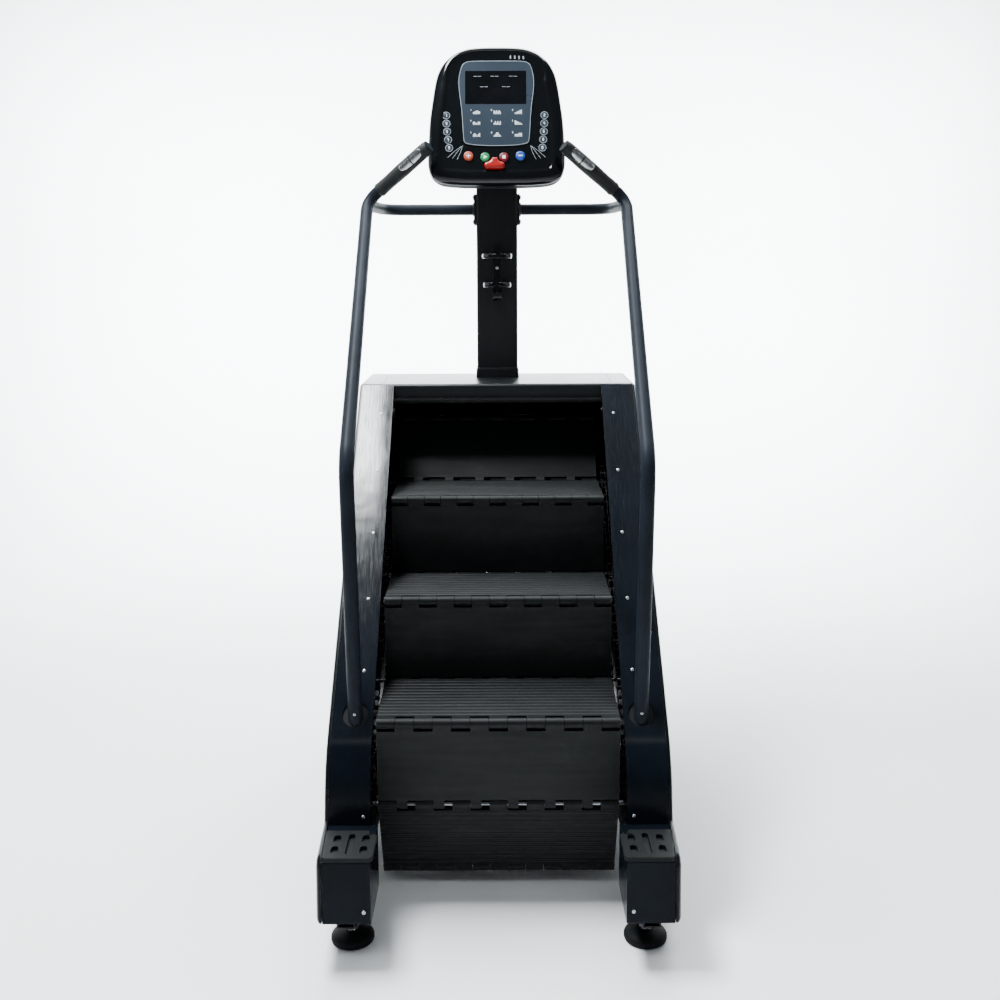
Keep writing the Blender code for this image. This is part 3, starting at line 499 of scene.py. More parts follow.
def screw(centre, normal, radius):
    """Button head with a hexagon socket."""
    sides, flat = 18, math.pi / 6
    rings = [[(x * radius, y * radius, h * radius) for x, y in circle(0, 0, r, sides)]
             for r, h in ((1.0, 0.0), (1.0, 0.16), (0.88, 0.4), (0.62, 0.56))]
    for r, h in ((0.44, 0.56), (0.42, 0.12)):
        hexagon = []
        for i in range(sides):
            a = math.tau * i / sides
            reach = r * math.cos(flat) / math.cos(a % (2 * flat) - flat)
            hexagon.append((reach * math.cos(a) * radius, reach * math.sin(a) * radius, h * radius))
        rings.append(hexagon)
    return on_disc(centre, normal, loft(rings))


# ================================================================ stair loop
def on_incline(along, out):
    return (SY + along * math.cos(INCLINE) - out * math.sin(INCLINE),
            SZ + along * math.sin(INCLINE) + out * math.cos(INCLINE))


def loop_point(s):
    """Point on the chain path, as (y, z), at a distance from the foot of the front run."""
    s %= 2 * LOOP_C + math.tau * LOOP_R
    if s < LOOP_C:
        return Vector(on_incline(s, LOOP_R))
    if s < LOOP_C + PITCH:
        a = (s - LOOP_C) / LOOP_R
        return Vector(on_incline(LOOP_C + LOOP_R * math.sin(a), LOOP_R * math.cos(a)))
    if s < 2 * LOOP_C + PITCH:
        return Vector(on_incline(LOOP_C - (s - LOOP_C - PITCH), -LOOP_R))
    a = (s - 2 * LOOP_C - PITCH) / LOOP_R
    return Vector(on_incline(-LOOP_R * math.sin(a), -LOOP_R * math.cos(a)))


def corner(k):
    return loop_point(PHASE + (k % STEPS) * PITCH)


def nose(k):
    """Where a tread and the riser below it meet, on the outer side of the loop."""
    back, low = corner(k), corner(k - 1)
    chord = low - back
    length = chord.length
    foot = (RUN ** 2 + length ** 2 - RISE ** 2) / (2 * length)
    height = math.sqrt(RUN ** 2 - foot ** 2)
    e = chord / length
    middle = Vector(on_incline(LOOP_C / 2, 0))
    options = [back + e * foot + Vector((e.y, -e.x)) * h for h in (height, -height)]
    return max(options, key=lambda p: (p - middle).length)


def finger_spans(first, share=1.0):
    """Every second hinge knuckle across the step; a share below 1 makes them narrower."""
    bay = 2 * STEP_HALF / SEGMENTS
    spans = []
    for i in range(first, SEGMENTS, 2):
        x0 = -STEP_HALF + i * bay + KNUCKLE_GAP / 2
        x1 = x0 + bay * share if share < 1.0 else -STEP_HALF + (i + 1) * bay - KNUCKLE_GAP / 2
        spans.append((x0, x1))
    return spans


KNUCKLE_ANGLES = (58, 75, 93, 111, 128, 145, 162, 180, 198, 216, 234, 252, 270, 288, 306, 324, 340)


def leaf(length, corner_spans, nose_spans, top_marks, nose_notch):
    """Hinge leaf along +Y from its corner axis (bored) to its nose axis, outward side +Z.

    top_marks are (distance, height) points that carry the ribs of the outward face.
    """
    verts, faces, index = [], [], {}

    def vert(point):
        key = tuple(round(v, 6) for v in point)
        if key not in index:
            index[key] = len(verts)
            verts.append(key)
        return index[key]

    def face(points):
        loop = []
        for i in map(vert, points):
            if not loop or loop[-1] != i:
                loop.append(i)
        if loop[0] == loop[-1]:
            loop.pop()
        if len(loop) > 2:
            faces.append(tuple(loop))

    def strips(x0, x1, line):
        for p, q in zip(line, line[1:]):
            face([(x0, *p), (x1, *p), (x1, *q), (x0, *q)])

    c_top, c_low = (CORNER_NOTCH, PLATE_TOP), (CORNER_NOTCH, PLATE_BOTTOM)
    n_top, n_low = (length - nose_notch, PLATE_TOP), (length - nose_notch, PLATE_BOTTOM)
    middle, half = KNUCKLE_ANGLES.index(180), BORE_SIDES // 2
    round_c = [(KNUCKLE_R * math.cos(a), KNUCKLE_R * math.sin(a)) for a in map(math.radians, KNUCKLE_ANGLES)]
    round_n = [(length - y, z) for y, z in round_c]
    bore = circle(0, 0, BORE_R, BORE_SIDES)
    top_line = [c_top] + list(top_marks) + [n_top]
    x_end = STEP_HALF - KNUCKLE_GAP / 2
    ends = [-x_end, x_end]
    c_x, n_x = (sorted({*ends, *sum(spans, ())}) for spans in (corner_spans, nose_spans))

    rows = [c_x] + [ends] * len(top_marks) + [n_x]
    for a, b, near, far in zip(top_line, top_line[1:], rows, rows[1:]):
        face([(x, *a) for x in near] + [(x, *b) for x in reversed(far)])
    face([(x, *c_low) for x in reversed(c_x)] + [(x, *n_low) for x in n_x])
    ring = top_line + [n_low, c_low]
    face([(x_end, *p) for p in reversed(ring)])
    face([(-x_end, *p) for p in ring])

    def edge(xs, spans, top, low, knuckle, bored):
        skin = [top] + knuckle + [low]
        sides = [skin]
        if bored:
            sides = [[top] + knuckle[:middle + 1] + bore[half::-1] + [low],
                     [low, bore[0]] + bore[:half - 1:-1] + knuckle[middle:]]
        for x0, x1 in zip(xs, xs[1:]):
            if (x0, x1) not in spans:
                strips(x0, x1, [top, low])
                continue
            strips(x0, x1, skin)
            for x in (x0, x1):
                for side in sides:
                    face([(x, *p) for p in side])
            if bored:
                strips(x0, x1, bore + bore[:1])

    edge(c_x, corner_spans, c_top, c_low, round_c, True)
    edge(n_x, nose_spans, n_top, n_low, round_n, False)
    return verts, faces


def turn_leaf(shape, base, apex, hand):
    """A leaf laid from its corner to its nose, its outward side on the given hand."""
    verts, faces = shape
    d = (apex - base).normalized()
    out = Vector((-d.y, d.x)) * hand
    return [(x, base.x + y * d.x + z * out.x, base.y + y * d.y + z * out.y) for x, y, z in verts], faces


def body_of(name, k):
    """The straight runs carry leaves 2, 3, 6 and 7; the others turn about their own axles."""
    return {2: "front_run", 3: "front_run", 6: "return_run", 7: "return_run"}.get(k, name)


# one anti-slip rib: distance along the tread and share of its depth below the top
RIB = ((0.0, 1.0), (0.001, 0.35), (0.0022, 0.08), (0.0034, 0.0), (0.0046, 0.0), (0.0051, 0.22), (0.0056, 0.0),
       (0.0068, 0.0), (0.008, 0.08), (0.0092, 0.35), (0.0102, 1.0))
RIBS, RIB_START, RIB_PITCH, RIB_DEPTH = 12, 0.018, 0.016, 0.0016


def build_stairs():
    tread_fingers, riser_fingers = finger_spans(0), finger_spans(1)
    low_fingers = finger_spans(1, CORNER_FINGER)
    ribs = [(RIB_START + i * RIB_PITCH + along, PLATE_TOP - RIB_DEPTH * down)
            for i in range(RIBS) for along, down in RIB]
    for k in range(STEPS):
        apex = nose(k)
        notch = MOVING_NOTCH if k in (0, 1, 4, 5) else NOSE_NOTCH
        tread = leaf(RUN, tread_fingers, tread_fingers, ribs, notch)
        riser = leaf(RISE, low_fingers, riser_fingers, [], notch)
        for name, shape in (("tread_%d" % k, turn_leaf(tread, corner(k), apex, -1)),
                            ("riser_%d" % k, turn_leaf(riser, corner(k - 1), apex, 1))):
            piece("step_" + name, shape, "step_aluminium", body_of(name, k), angle=30, replaces=(name,))
        pins = [screw((side * (STEP_HALF - 0.0004), *apex), (side, 0, 0), 0.0042) for side in (-1, 1)]
        piece("nose_pin_ends_%d" % k, join(pins), "bright_steel", body_of("tread_%d" % k, k))


def link_outline(a, b, half):
    """Figure-of-eight side plate between two pin centres in the (y, z) plane."""
    d = (b - a).normalized()
    n = Vector((-d.y, d.x))
    pts = []
    for centre, start in ((b, -1), (a, 1)):
        for i in range(9):
            t = math.pi * i / 8
            pts.append(centre + (n * math.cos(t) * start * -1 + d * math.sin(t) * -start) * half)
    mid = (a + b) / 2
    pts.insert(9, mid + n * half * 0.68 * (1 if (pts[8] - b).dot(n) > 0 else -1))
    pts.append(mid - n * half * 0.68 * (1 if (pts[9] - mid).dot(n) > 0 else -1))
    return [tuple(p) for p in pts]


def chain_run(first, count, side):
    """Roller chain: alternate inner and outer plates, rollers and pins."""
    shapes = []
    for i in range(count + 1):
        p = loop_point(first + i * LINK)
        for reach, radius, sides in ((0.0078, 0.0019, 8), (0.0036, 0.005, 12)):
            shapes.append(sweep([(side * (CHAIN_X + hand * reach), *p) for hand in (-1, 1)], radius, sides))
        if i == count:
            break
        q = loop_point(first + (i + 1) * LINK)
        gap, half = (0.0054, 0.0072) if i % 2 else (0.0038, 0.0078)
        for hand in (-1, 1):
            x0 = CHAIN_X + hand * gap
            shapes.append(prism(link_outline(p, q, half), side * x0, side * (x0 + hand * 0.0014), 'x'))
    return join(shapes)


def build_chains():
    for side, word in ((1, "right"), (-1, "left")):
        for run, first in (("front", 0.0), ("return", LOOP_C + PITCH)):
            piece("roller_chain_%s_%s" % (run, word), chain_run(first + LINK * 0.5, 35, side), "chain_steel",
                  run + "_run", replaces=("chain_%s_%s" % (run, word),))
        for shaft, first in (("upper", LOOP_C), ("lower", 2 * LOOP_C + PITCH)):
            piece("chain_half_turn_%s_%s" % (shaft, word), chain_run(first + LINK * 3.5, 7, side),
                  "chain_steel", shaft + "_shaft")


# ================================================================ covers
# the step side's front edge from the top down, as distance behind SY and height
FRONT_LINE = [(0.5545, 1.164), (-0.102, 0.452), (-0.133, 0.417), (-0.156, 0.375), (-0.17, 0.33),
              (-0.183, 0.245)]
SIDE_SCREWS = ((-0.25, 0.165), (0.1, 0.165), (0.48, 0.165), (0.86, 0.2), (0.905, 0.6), (0.88, 1.000),
               (0.7, 1.11), (0.1, 0.61), (0.35, 0.88))
FASCIA_SCREWS = ((0.318, 1.092), (0.319, 0.957), (0.318, 0.82), (0.3185, 0.685), (0.317, 0.549))


def rim_x(z):
    return RIM_BOTTOM + (RIM_TOP - RIM_BOTTOM) * (z - COVER_BOTTOM) / (TOP_Z - COVER_BOTTOM)


def front_share(y):
    """0 behind the entry box, rising to 1 at the front edge."""
    return min(max((BOX_Y - y) / 0.163, 0.0), 1.0)


def side_outline():
    points = [(SY - 0.343, COVER_BOTTOM), (BOX_Y, COVER_BOTTOM), (SY + 0.88, COVER_BOTTOM), (REAR_Y, 0.15),
              (REAR_Y, 1.03), (SY + 0.935, 1.085), (SY + 0.843, TOP_Z), (SY + 0.556, TOP_Z)]
    points += [(SY + y, z) for y, z in FRONT_LINE[1:-1]]
    points += [(SY - 0.1807, 0.26), (SY - 0.325, 0.26), (SY - 0.343, 0.244)]
    radii = [0.016, 0.0, 0.05, 0.03, 0.06, 0.05, 0.05, 0.014, 0.05, 0.06, 0.06, 0.06, 0.003, 0.014, 0.014]
    return round_loop(points, radii)


def build_side_covers():
    """Moulded sides with a rolled rim and a soft crown, and their fixing screws."""
    loop = side_outline()
    # from the middle of the inside round the rim to the middle of the outside:
    # inset from the outline, bulge beyond the rim, and how far the front edge is turned in
    section = ((0.0118, 0.0018, 0.0069), (SKIN, 0.0008, 0.0084), (SKIN, -0.004, 0.009),
               (0.0, -0.004, 0.009), (0.0, -0.0006, 0.009), (0.0005, 0.0006, 0.0088),
               (0.0016, 0.0018, 0.0086), (0.0034, 0.003, 0.0083), (0.0058, 0.004, 0.0079),
               (0.0086, 0.0047, 0.0074), (0.0118, 0.005, 0.0069))
    shell = loft([[(rim_x(z) + bulge - turn_in * front_share(y), y, z) for y, z in offset_loop(loop, inset)]
                  for inset, bulge, turn_in in section])
    both_sides("side_panel", shell, "moulded_cover", "side_cover", angle=40)
    heads = [screw((rim_x(z) + 0.0034, SY + y, z), (1, 0, 0), 0.0046) for y, z in SIDE_SCREWS]
    both_sides("side_panel_screws", join(heads), "screw")


def ribbon(line, thickness, span):
    """A bent sheet along a (y, z) line; span gives its low and high x at a height."""
    pts = [Vector(p) for p in line]
    edges = [(b - a).normalized() for a, b in zip(pts, pts[1:])]
    rings = []
    for p, before, after in zip(pts, edges[:1] + edges, edges + edges[-1:]):
        d = (before + after).normalized()
        n, m = Vector((-d.y, d.x)), Vector((-after.y, after.x))
        q = p + n * (thickness / max(n.dot(m), 0.5))
        low, high = span(p.y)
        rings.append([(low, *p), (high, *p), (high, *q), (low, *q)])
    return loft(rings)


def cut(obj, shape, operation='DIFFERENCE'):
    """Applies one boolean to an object's mesh, ahead of its other modifiers."""
    tool = mesh_object("tool", shape)
    mod = obj.modifiers.new("cut", 'BOOLEAN')
    mod.operation = operation
    mod.solver = 'EXACT'
    mod.object = tool
    obj.modifiers.move(len(obj.modifiers) - 1, 0)
    others = obj.modifiers[1:]
    for other in others:
        other.show_viewport = False
    bpy.context.view_layer.update()
    result = bpy.data.meshes.new_from_object(obj.evaluated_get(bpy.context.evaluated_depsgraph_get()))
    obj.modifiers.remove(mod)
    for other in others:
        other.show_viewport = True
    obj.data = result
    bpy.data.objects.remove(tool, do_unlink=True)
    smooth(result, 32)


def front_curve():
    """The front line with the bend at its foot drawn as a smooth curve through its points."""
    top, *bend = [Vector((SY + y, z)) for y, z in FRONT_LINE]
    pts = [2 * bend[0] - bend[1]] + bend + [2 * bend[-1] - bend[-2]]
    out = [top]
    for span in zip(pts, pts[1:], pts[2:], pts[3:]):
        out += spline_span(*span, 8)
    return out + bend[-1:]


def face_point(z):
    """Y of the sloping fascia at a height, and its outward normal."""
    (y1, z1), (y0, z0) = FRONT_LINE[:2]
    d = Vector((0, y1 - y0, z1 - z0)).normalized()
    return SY + y0 + (y1 - y0) * (z - z0) / (z1 - z0), Vector((0, -d.z, d.y))


def build_fascias():
    """Bent front sheets with their entry boxes, handrail holes and screws."""
    sheet = ribbon(front_curve(), SKIN, lambda z: (FASCIA_IN, rim_x(z) - 0.0045))
    outer = rim_x(0.2) - 0.0048
    low = [(BOX_Y, COVER_BOTTOM), (BOX_Y, 0.2512), (SY - 0.3385, 0.2512), (SY - 0.3385, COVER_BOTTOM)]
    low = round_loop(low, [0.0, 0.0, 0.004, 0.006], 5)
    hull = loft([[(ENTRY_IN, y, z) for y, z in low],
                 [(outer - 0.009 * front_share(y), y, z) for y, z in low]])
    inner = box((ENTRY_IN + SKIN, outer - 0.013), (SY - 0.3345, SY - 0.184), (0.09, 0.247))
    centre = Vector((0.3302, SY - 0.084, 0.4715))
    normal = face_point(centre.z)[1]
    hole = sweep([centre - normal * 0.05, centre + normal * 0.05], 0.03, 48)
    for word, turn in (("right", lambda s: s), ("left", mirror_x)):
        obj = piece("front_panel_" + word, turn(sheet), "painted_steel", bevel=0.0016,
                    replaces=("front_fascia_" + word,))
        cut(obj, turn(hull), 'UNION')
        cut(obj, turn(inner))
        cut(obj, turn(hole))
    # a dark rubber disc just behind each handrail hole, standing in as painted shade inside the hole
    hole_shade_disc = sweep([centre - normal * 0.0062, centre - normal * 0.0042], 0.0345, 48)
    both_sides("rail_hole_shade_disc", hole_shade_disc, "rubber")
    spots = [((x, face_point(z)[0], z), normal) for x, z in FASCIA_SCREWS]
    spots += [((0.305, SY - 0.1795, 0.27), (0, -1, 0.15)), ((0.287, SY - 0.3384, 0.138), (0, -1, 0))]
    both_sides("front_panel_screws", join([screw(at, facing, 0.0042) for at, facing in spots]), "screw")


def rounded_slot(cx, cy, width, length, pieces=8):
    r = width / 2
    top = [(cx + r * math.cos(a), cy + length / 2 - r + r * math.sin(a))
           for a in (math.pi * i / pieces for i in range(pieces + 1))]
    return top + [(2 * cx - x, 2 * cy - y) for x, y in top]


def build_entry_pads():
    """Ribbed rubber pad with one long and four short slots over a slot floor."""
    y0, y1 = SY - 0.341, SY - 0.224
    x0, x1, x2 = ENTRY_IN - 0.005, 0.374, 0.3805
    clear = STEP_HALF + 0.006
    outline = [(x0, y0), (x1, y0), (x2, y1), (clear, y1), (clear, SY - 0.236), (x0, SY - 0.243)]
    outline = round_loop(outline, [0.012, 0.012, 0.006, 0.004, 0.0, 0.004], 7)
    mid_x, mid_y = (x0 + x1) / 2, (y0 + y1) / 2
    holes = [rounded_slot(mid_x, mid_y, 0.014, 0.086)]
    holes += [rounded_slot(mid_x + side * 0.031, mid_y + step * 0.023, 0.016, 0.03)
              for side in (-1, 1) for step in (-1, 1)]
    both_sides("entry_step_pad", prism(outline, 0.2516, 0.2618, 'z', holes), "rubber", "entry_pad",
               bevel=0.0016, steps=3)
    both_sides("entry_slot_floor", prism(offset_loop(outline, 0.004), 0.2514, 0.2532), "powder_coat")
    ribs = [mid_x + step * 0.0155 for step in (-3, -1, 1, 3)]
    ribs = [box((x - 0.0012, x + 0.0012), (y0 + 0.012, y1 - 0.012), (0.2612, 0.262)) for x in ribs]
    both_sides("entry_pad_ribs", join(ribs), "rubber")


def build_top_and_rear():
    """Top cover with the column hole, header lip and seams; rear cover with its vents and screws."""
    def full_width(z):
        return -FACE_HALF, FACE_HALF

    front, back = SY + 0.557, SY + 0.843
    level = TOP_Z - 0.0002
    line = fillet([(front, 1.123), (front, level), (back, level), (SY + 0.93, 1.09)], 0.012, 6)
    top = piece("top_panel", ribbon([(front, 1.122)] + line, -SKIN, full_width), "moulded_cover",
                bevel=0.0008, replaces=("top_cover",))
    cut(top, prism(rounded_rectangle(0.064, SY + 0.725, SY + 0.809, 0.008), 1.14, 1.185))
    lip = FASCIA_IN - 0.0003
    cut(top, box((-lip, lip), (SY + 0.538, SY + 0.56), (1.122, 1.127)), 'UNION')
    for side in (-1, 1):
        seam = [(side * 0.318, SY + 0.555), (side * 0.32, SY + 0.555), (side * 0.33, SY + 0.844),
                (side * 0.328, SY + 0.844)]
        cut(top, prism(seam, TOP_Z - 0.0016, TOP_Z + 0.01))
    line = [(SY + 0.933, 1.084), (SY + 0.948, 1.029), (SY + 0.948, 0.16), (SY + 0.92, 0.12)]
    rear = piece("rear_panel", ribbon(fillet(line, 0.05, 8), -SKIN, full_width), "moulded_cover",
                 bevel=0.001, replaces=("rear_cover",))
    for row in range(6):
        z = 0.3 + row * 0.022
        for col in range(7):
            x = -0.15 + col * 0.05
            cut(rear, box((x - 0.019, x + 0.019), (SY + 0.94, SY + 0.96), (z - 0.004, z + 0.004)))
    heads = [screw((x, SY + 0.9475, z), (0, 1, 0), 0.0045) for x in (-0.34, 0.34) for z in (0.2, 0.6, 1.0)]
    piece("rear_panel_screws", join(heads), "screw")


# ================================================================ upper works
FEET = {"front_left": (-0.3285, SY - 0.215), "front_right": (0.3285, SY - 0.215),
        "rear_left": (-0.339, SY + 0.85), "rear_right": (0.339, SY + 0.85)}
FOOT_PROFILE = [(0, 0), (0.044, 0), (0.0472, 0.0016), (0.0484, 0.005), (0.048, 0.011), (0.0466, 0.0145),
                (0.042, 0.018), (0.032, 0.0222), (0.023, 0.0245), (0.0152, 0.0255), (0, 0.0255)]
STUD_R, STUD_LOW, THREADS, THREAD_PITCH = 0.0068, 0.033, 11, 0.001


def build_feet():
    """Rubber disc with grip ribs, a lock nut and a threaded stud at each corner."""
    stud = [(0, STUD_LOW - 0.0005), (STUD_R, STUD_LOW)]
    for i in range(THREADS):
        z = STUD_LOW + i * THREAD_PITCH
        stud += [(STUD_R - 0.0008, z + THREAD_PITCH / 2), (STUD_R, z + THREAD_PITCH)]
    stud.append((0, STUD_LOW + THREADS * THREAD_PITCH))
    rib = [(0, 0.004), (0.0009, 0.004), (0.0009, 0.0118), (0, 0.0122)]
    for name, at in FEET.items():
        body = "levelling_foot_" + name
        ribs = [lathe(rib, spot, 8) for spot in circle(*at, 0.0476, 28)]
        piece("foot_pad_" + name, join([lathe(FOOT_PROFILE, at, 56)] + ribs), "rubber", body, angle=40,
              replaces=(body,))
        piece("foot_nut_" + name, prism(circle(*at, 0.015, 6), 0.0255, 0.0335), "screw", body, bevel=0.0008)
        piece("foot_stud_" + name, lathe(stud, at, 24), "screw", body)


def rounded_rectangle(half, y0, y1, radius):
    return round_loop([(-half, y0), (half, y0), (half, y1), (-half, y1)], radius)


def build_column():
    y0, y1 = SY + 0.73, SY + 0.8
    half = 0.0595
    shaft = prism(rounded_rectangle(half, y0, y1, 0.009), 1.1323, 1.8, 'z',
                  [rounded_rectangle(half - 0.003, y0 + 0.003, y1 - 0.003, 0.007)])
    piece("column_tube", shaft, "powder_coat", replaces=("console_column",))
    rings = []
    for grow, z in ((0.003, 1.14), (0.003, 1.186), (0.0024, 1.1915), (0.0012, 1.1938), (0.0002, 1.194)):
        rings.append([(x, y, z) for x, y in rounded_rectangle(half + grow, y0 - grow, y1 + grow, 0.01)])
    piece("column_boot", loft(rings), "moulded_cover")
    bracket = prism(rounded_rectangle(0.045, 1.76, 1.86, 0.008), y0 - 0.026, y0 + 0.0005, 'y')
    piece("console_bracket", bracket, "powder_coat", bevel=0.001)


def rail_path():
    return fillet([(0.33, SY - 0.083, 0.448), (0.3365, SY - 0.11, 1.063), (0.362, SY + 0.625, 1.673),
                   (0.183, SY + 0.555, 1.818)], (0.1, 0.05), 16)


def build_handrails():
    path = rail_path()
    arm = fillet([(0.359, SY + 0.6, 1.662), (0.325, ARM_Y, ARM_Z), (0.0655, ARM_Y, ARM_Z)], 0.08, 14)
    flange = round_loop([(ARM_Y + y, ARM_Z + z) for y, z in ((-0.03, -0.0455), (0.03, -0.0455),
                                                            (0.03, 0.0445), (-0.03, 0.0445))], 0.01)
    both_sides("rail_tube", sweep(path, TUBE_R, 32), "rail_paint", "handrail")
    both_sides("rail_arm", sweep(arm, ARM_R, 32), "rail_paint")
    both_sides("rail_flange", prism(flange, 0.0598, 0.0668, 'x'), "powder_coat", bevel=0.001)
    verts, faces = lathe([(ARM_R, 0.066), (0.02, 0.0664), (0.0205, 0.0672), (0.019, 0.07), (0.0165, 0.0712),
                          (ARM_R, 0.066)], (0, 0), 36)
    both_sides("rail_weld", ([(z, ARM_Y + x, ARM_Z + y) for x, y, z in verts], faces), "powder_coat")
    bolts = [screw((0.0668, SY + y, z), (1, 0, 0), 0.0062) for y in (0.748, 0.782) for z in (1.619, 1.689)]
    both_sides("flange_bolts", join(bolts), "powder_coat")
    at = path[0] + Vector((0, 0.0006 - TUBE_R, 0.03))
    both_sides("rail_end_bolts", screw(at, (0, -1, 0), 0.004), "screw")


# swell of the grip beyond the tube, by share of the rail's last straight
GRIP = ((0.02, 0.0012), (0.028, 0.0026), (0.045, 0.0034), (0.075, 0.0026), (0.2, 0.0022), (0.35, 0.0028),
        (0.5, 0.0034), (0.65, 0.0034), (0.8, 0.003), (0.9, 0.0028), (0.955, 0.0022), (0.978, 0.001),
        (0.986, 0.0004))
GRIP_CAP = ((0.984, 0.018), (0.99, 0.0178), (0.996, 0.016), (0.999, 0.011))
PLATE_AT, PLATE_REACH, PLATE_ROWS, PLATE_COLS = 0.685, 0.205, 15, 17


def pulse_plate(low, high, start, span):
    """Part of a crowned oval inlay on the grip, between two shares of its half length."""
    d = span.normalized()
    toward = Vector((0, -1, 0.3))
    face = (toward - d * toward.dot(d)).normalized()
    across = d.cross(face)
    rings = []
    for r in range(PLATE_ROWS):
        u = low + (high - low) * r / (PLATE_ROWS - 1)
        width = math.radians(50) * math.sqrt(max(1 - abs(u) ** 2.4, 0.0)) + math.radians(1.5)
        top, bottom = [], []
        for i in range(PLATE_COLS):
            w = 2 * i / (PLATE_COLS - 1) - 1
            spoke = face * math.cos(w * width) + across * math.sin(w * width)
            middle = start + span * (PLATE_AT + PLATE_REACH * u)
            top.append(middle + spoke * (TUBE_R + 0.0044 - 0.0012 * max(abs(w), abs(u)) ** 10))
            bottom.append(middle + spoke * (TUBE_R + 0.0014))
        rings.append(top + bottom[::-1])
    return rings


def build_grips():
    start, end = rail_path()[-2:]
    span = end - start
    shape = sweep([start + span * t for t, _ in GRIP], [TUBE_R + swell for _, swell in GRIP], 36,
                  bore=TUBE_R + 0.0002)
    both_sides("hand_grip", shape, "grip_rubber", "grip")
    cap = sweep([start + span * t for t, _ in GRIP_CAP], [r for _, r in GRIP_CAP], 36)
    both_sides("grip_end_cap", cap, "rubber")
    plates = []
    for low, high in ((-1.0, -0.045), (0.045, 1.0)):
        rings = pulse_plate(low, high, start, span)
        verts, faces = loft(rings)
        # the two ends are strips of four-sided faces, like the top
        faces = faces[:-2]
        for base in (0, (PLATE_ROWS - 1) * 2 * PLATE_COLS):
            for i in range(PLATE_COLS - 1):
                j = 2 * PLATE_COLS - 1 - i
                faces.append((base + i, base + i + 1, base + j - 1, base + j))
        plates.append((verts, faces))
    both_sides("pulse_plates", join(plates), "pulse_plate")


def band(centre, radius, gap, wall=0.0044, height=0.014, sides=56):
    """Bottle band: a ring with rounded lips; a gap opens it towards the user."""
    section = [(math.copysign(abs(x) ** 0.5, x) * wall / 2, math.copysign(abs(z) ** 0.5, z) * height / 2)
               for x, z in circle(0, 0, 1, 12)]
    rings = []
    for i in range(sides + 1 if gap else sides):
        a = -math.pi / 2 + gap + (math.tau - 2 * gap) * i / sides
        out = Vector((math.cos(a), math.sin(a), 0))
        rings.append([Vector(centre) + out * (radius - wall / 2 + dr) + Vector((0, 0, dz))
                      for dr, dz in section])
    return loft(rings, ring_join=not gap)


CAGE_HALF = [(0.0, 1.3905), (0.012, 1.3905), (0.0125, 1.415), (0.014, 1.43), (0.0138, 1.445),
             (0.0105, 1.465), (0.0095, 1.48), (0.0105, 1.495), (0.0138, 1.51), (0.014, 1.53),
             (0.0125, 1.545), (0.0, 1.5498)]


def build_bottle_cage():
    front = SY + 0.7297
    plate = prism(round_loop(mirrored(CAGE_HALF), 0.006, 4), front - 0.007, front, 'y')
    piece("cage_back", plate, "console_plastic", bevel=0.0014, steps=3, replaces=("bottle_cage",))
    piece("cage_upper_band", band((0, front - 0.044, 1.52), 0.043, 0.0), "console_plastic", angle=60)
    piece("cage_lower_band", band((0, front - 0.043, 1.438), 0.04, 0.35), "console_plastic", angle=60)
    hook = fillet([(front - 0.003, 1.393), (front - 0.06, 1.393), (front - 0.074, 1.399),
                   (front - 0.0752, 1.418)], 0.01, 6)
    piece("cage_hook", ribbon(hook, -0.0045, lambda z: (-0.012, 0.012)), "console_plastic", bevel=0.0008)
    heads = [screw((0, front - 0.007, z), (0, -1, 0), 0.0048) for z in (1.486, 1.412)]
    piece("cage_screws", join(heads), "screw")


# ================================================================ console
# right halves of the outlines, from the centre line at the bottom to the centre line at the top
CONSOLE_HALF = [(0.0, -0.2024), (0.05, -0.2022), (0.0947, -0.2014), (0.1421, -0.1965), (0.1667, -0.1842),
                (0.1799, -0.1627), (0.1842, -0.1323), (0.1828, -0.0735), (0.1799, -0.0147), (0.1742, 0.0343),
                (0.1676, 0.0833), (0.16, 0.1196), (0.1477, 0.147), (0.1307, 0.1686), (0.1061, 0.1862),
                (0.0758, 0.197), (0.04, 0.2006), (0.0, 0.2014)]
PANEL_HALF = [(0.0, -0.095), (0.025, -0.0947), (0.05, -0.0935), (0.07, -0.0912), (0.083, -0.088),
              (0.0885, -0.084), (0.0912, -0.076), (0.0935, -0.05), (0.0955, -0.015), (0.0985, 0.02),
              (0.103, 0.054), (0.1056, 0.085), (0.1048, 0.105), (0.102, 0.122), (0.0975, 0.138),
              (0.0915, 0.1475), (0.08, 0.153), (0.06, 0.1545), (0.03, 0.155), (0.0, 0.155)]
STOP_HALF = [(0.0, -0.016), (0.012, -0.0159), (0.0215, -0.015), (0.0272, -0.01), (0.028, -0.004),
             (0.024, 0.001), (0.015, 0.0045), (0.01, 0.009), (0.008, 0.0145), (0.004, 0.0158),
             (0.0, 0.016)]
OUTLINE = spline_loop(mirrored([(x * CONSOLE_WIDEN, v) for x, v in CONSOLE_HALF]), 5)
PANEL = spline_loop(mirrored(PANEL_HALF), 4)
STOP = (-0.0055, -0.146)
KEYS = {"key_orange": (-0.0775, -0.124), "key_green": (-0.0315, -0.1277), "key_red": (0.0205, -0.1277),
        "key_blue": (0.066, -0.124)}


def console_point(x, v, n):
    """Point on the tilted console: across, up its face and out from it."""
    s, c = math.sin(CONSOLE_TILT), math.cos(CONSOLE_TILT)
    cx, cy, cz = CONSOLE_C
    return cx + x, cy + v * s - n * c, cz + v * c + n * s


def to_console(shape):
    verts, faces = shape
    return [console_point(*v) for v in verts], faces


def ring_at(loop, n):
    return [(x, v, n) for x, v in loop]


def stop_outline(grow=0.0):
    loop = mirrored(STOP_HALF)
    loop = offset_loop(loop, -grow) if grow else loop
    return [(STOP[0] + x, STOP[1] + v) for x, v in loop]


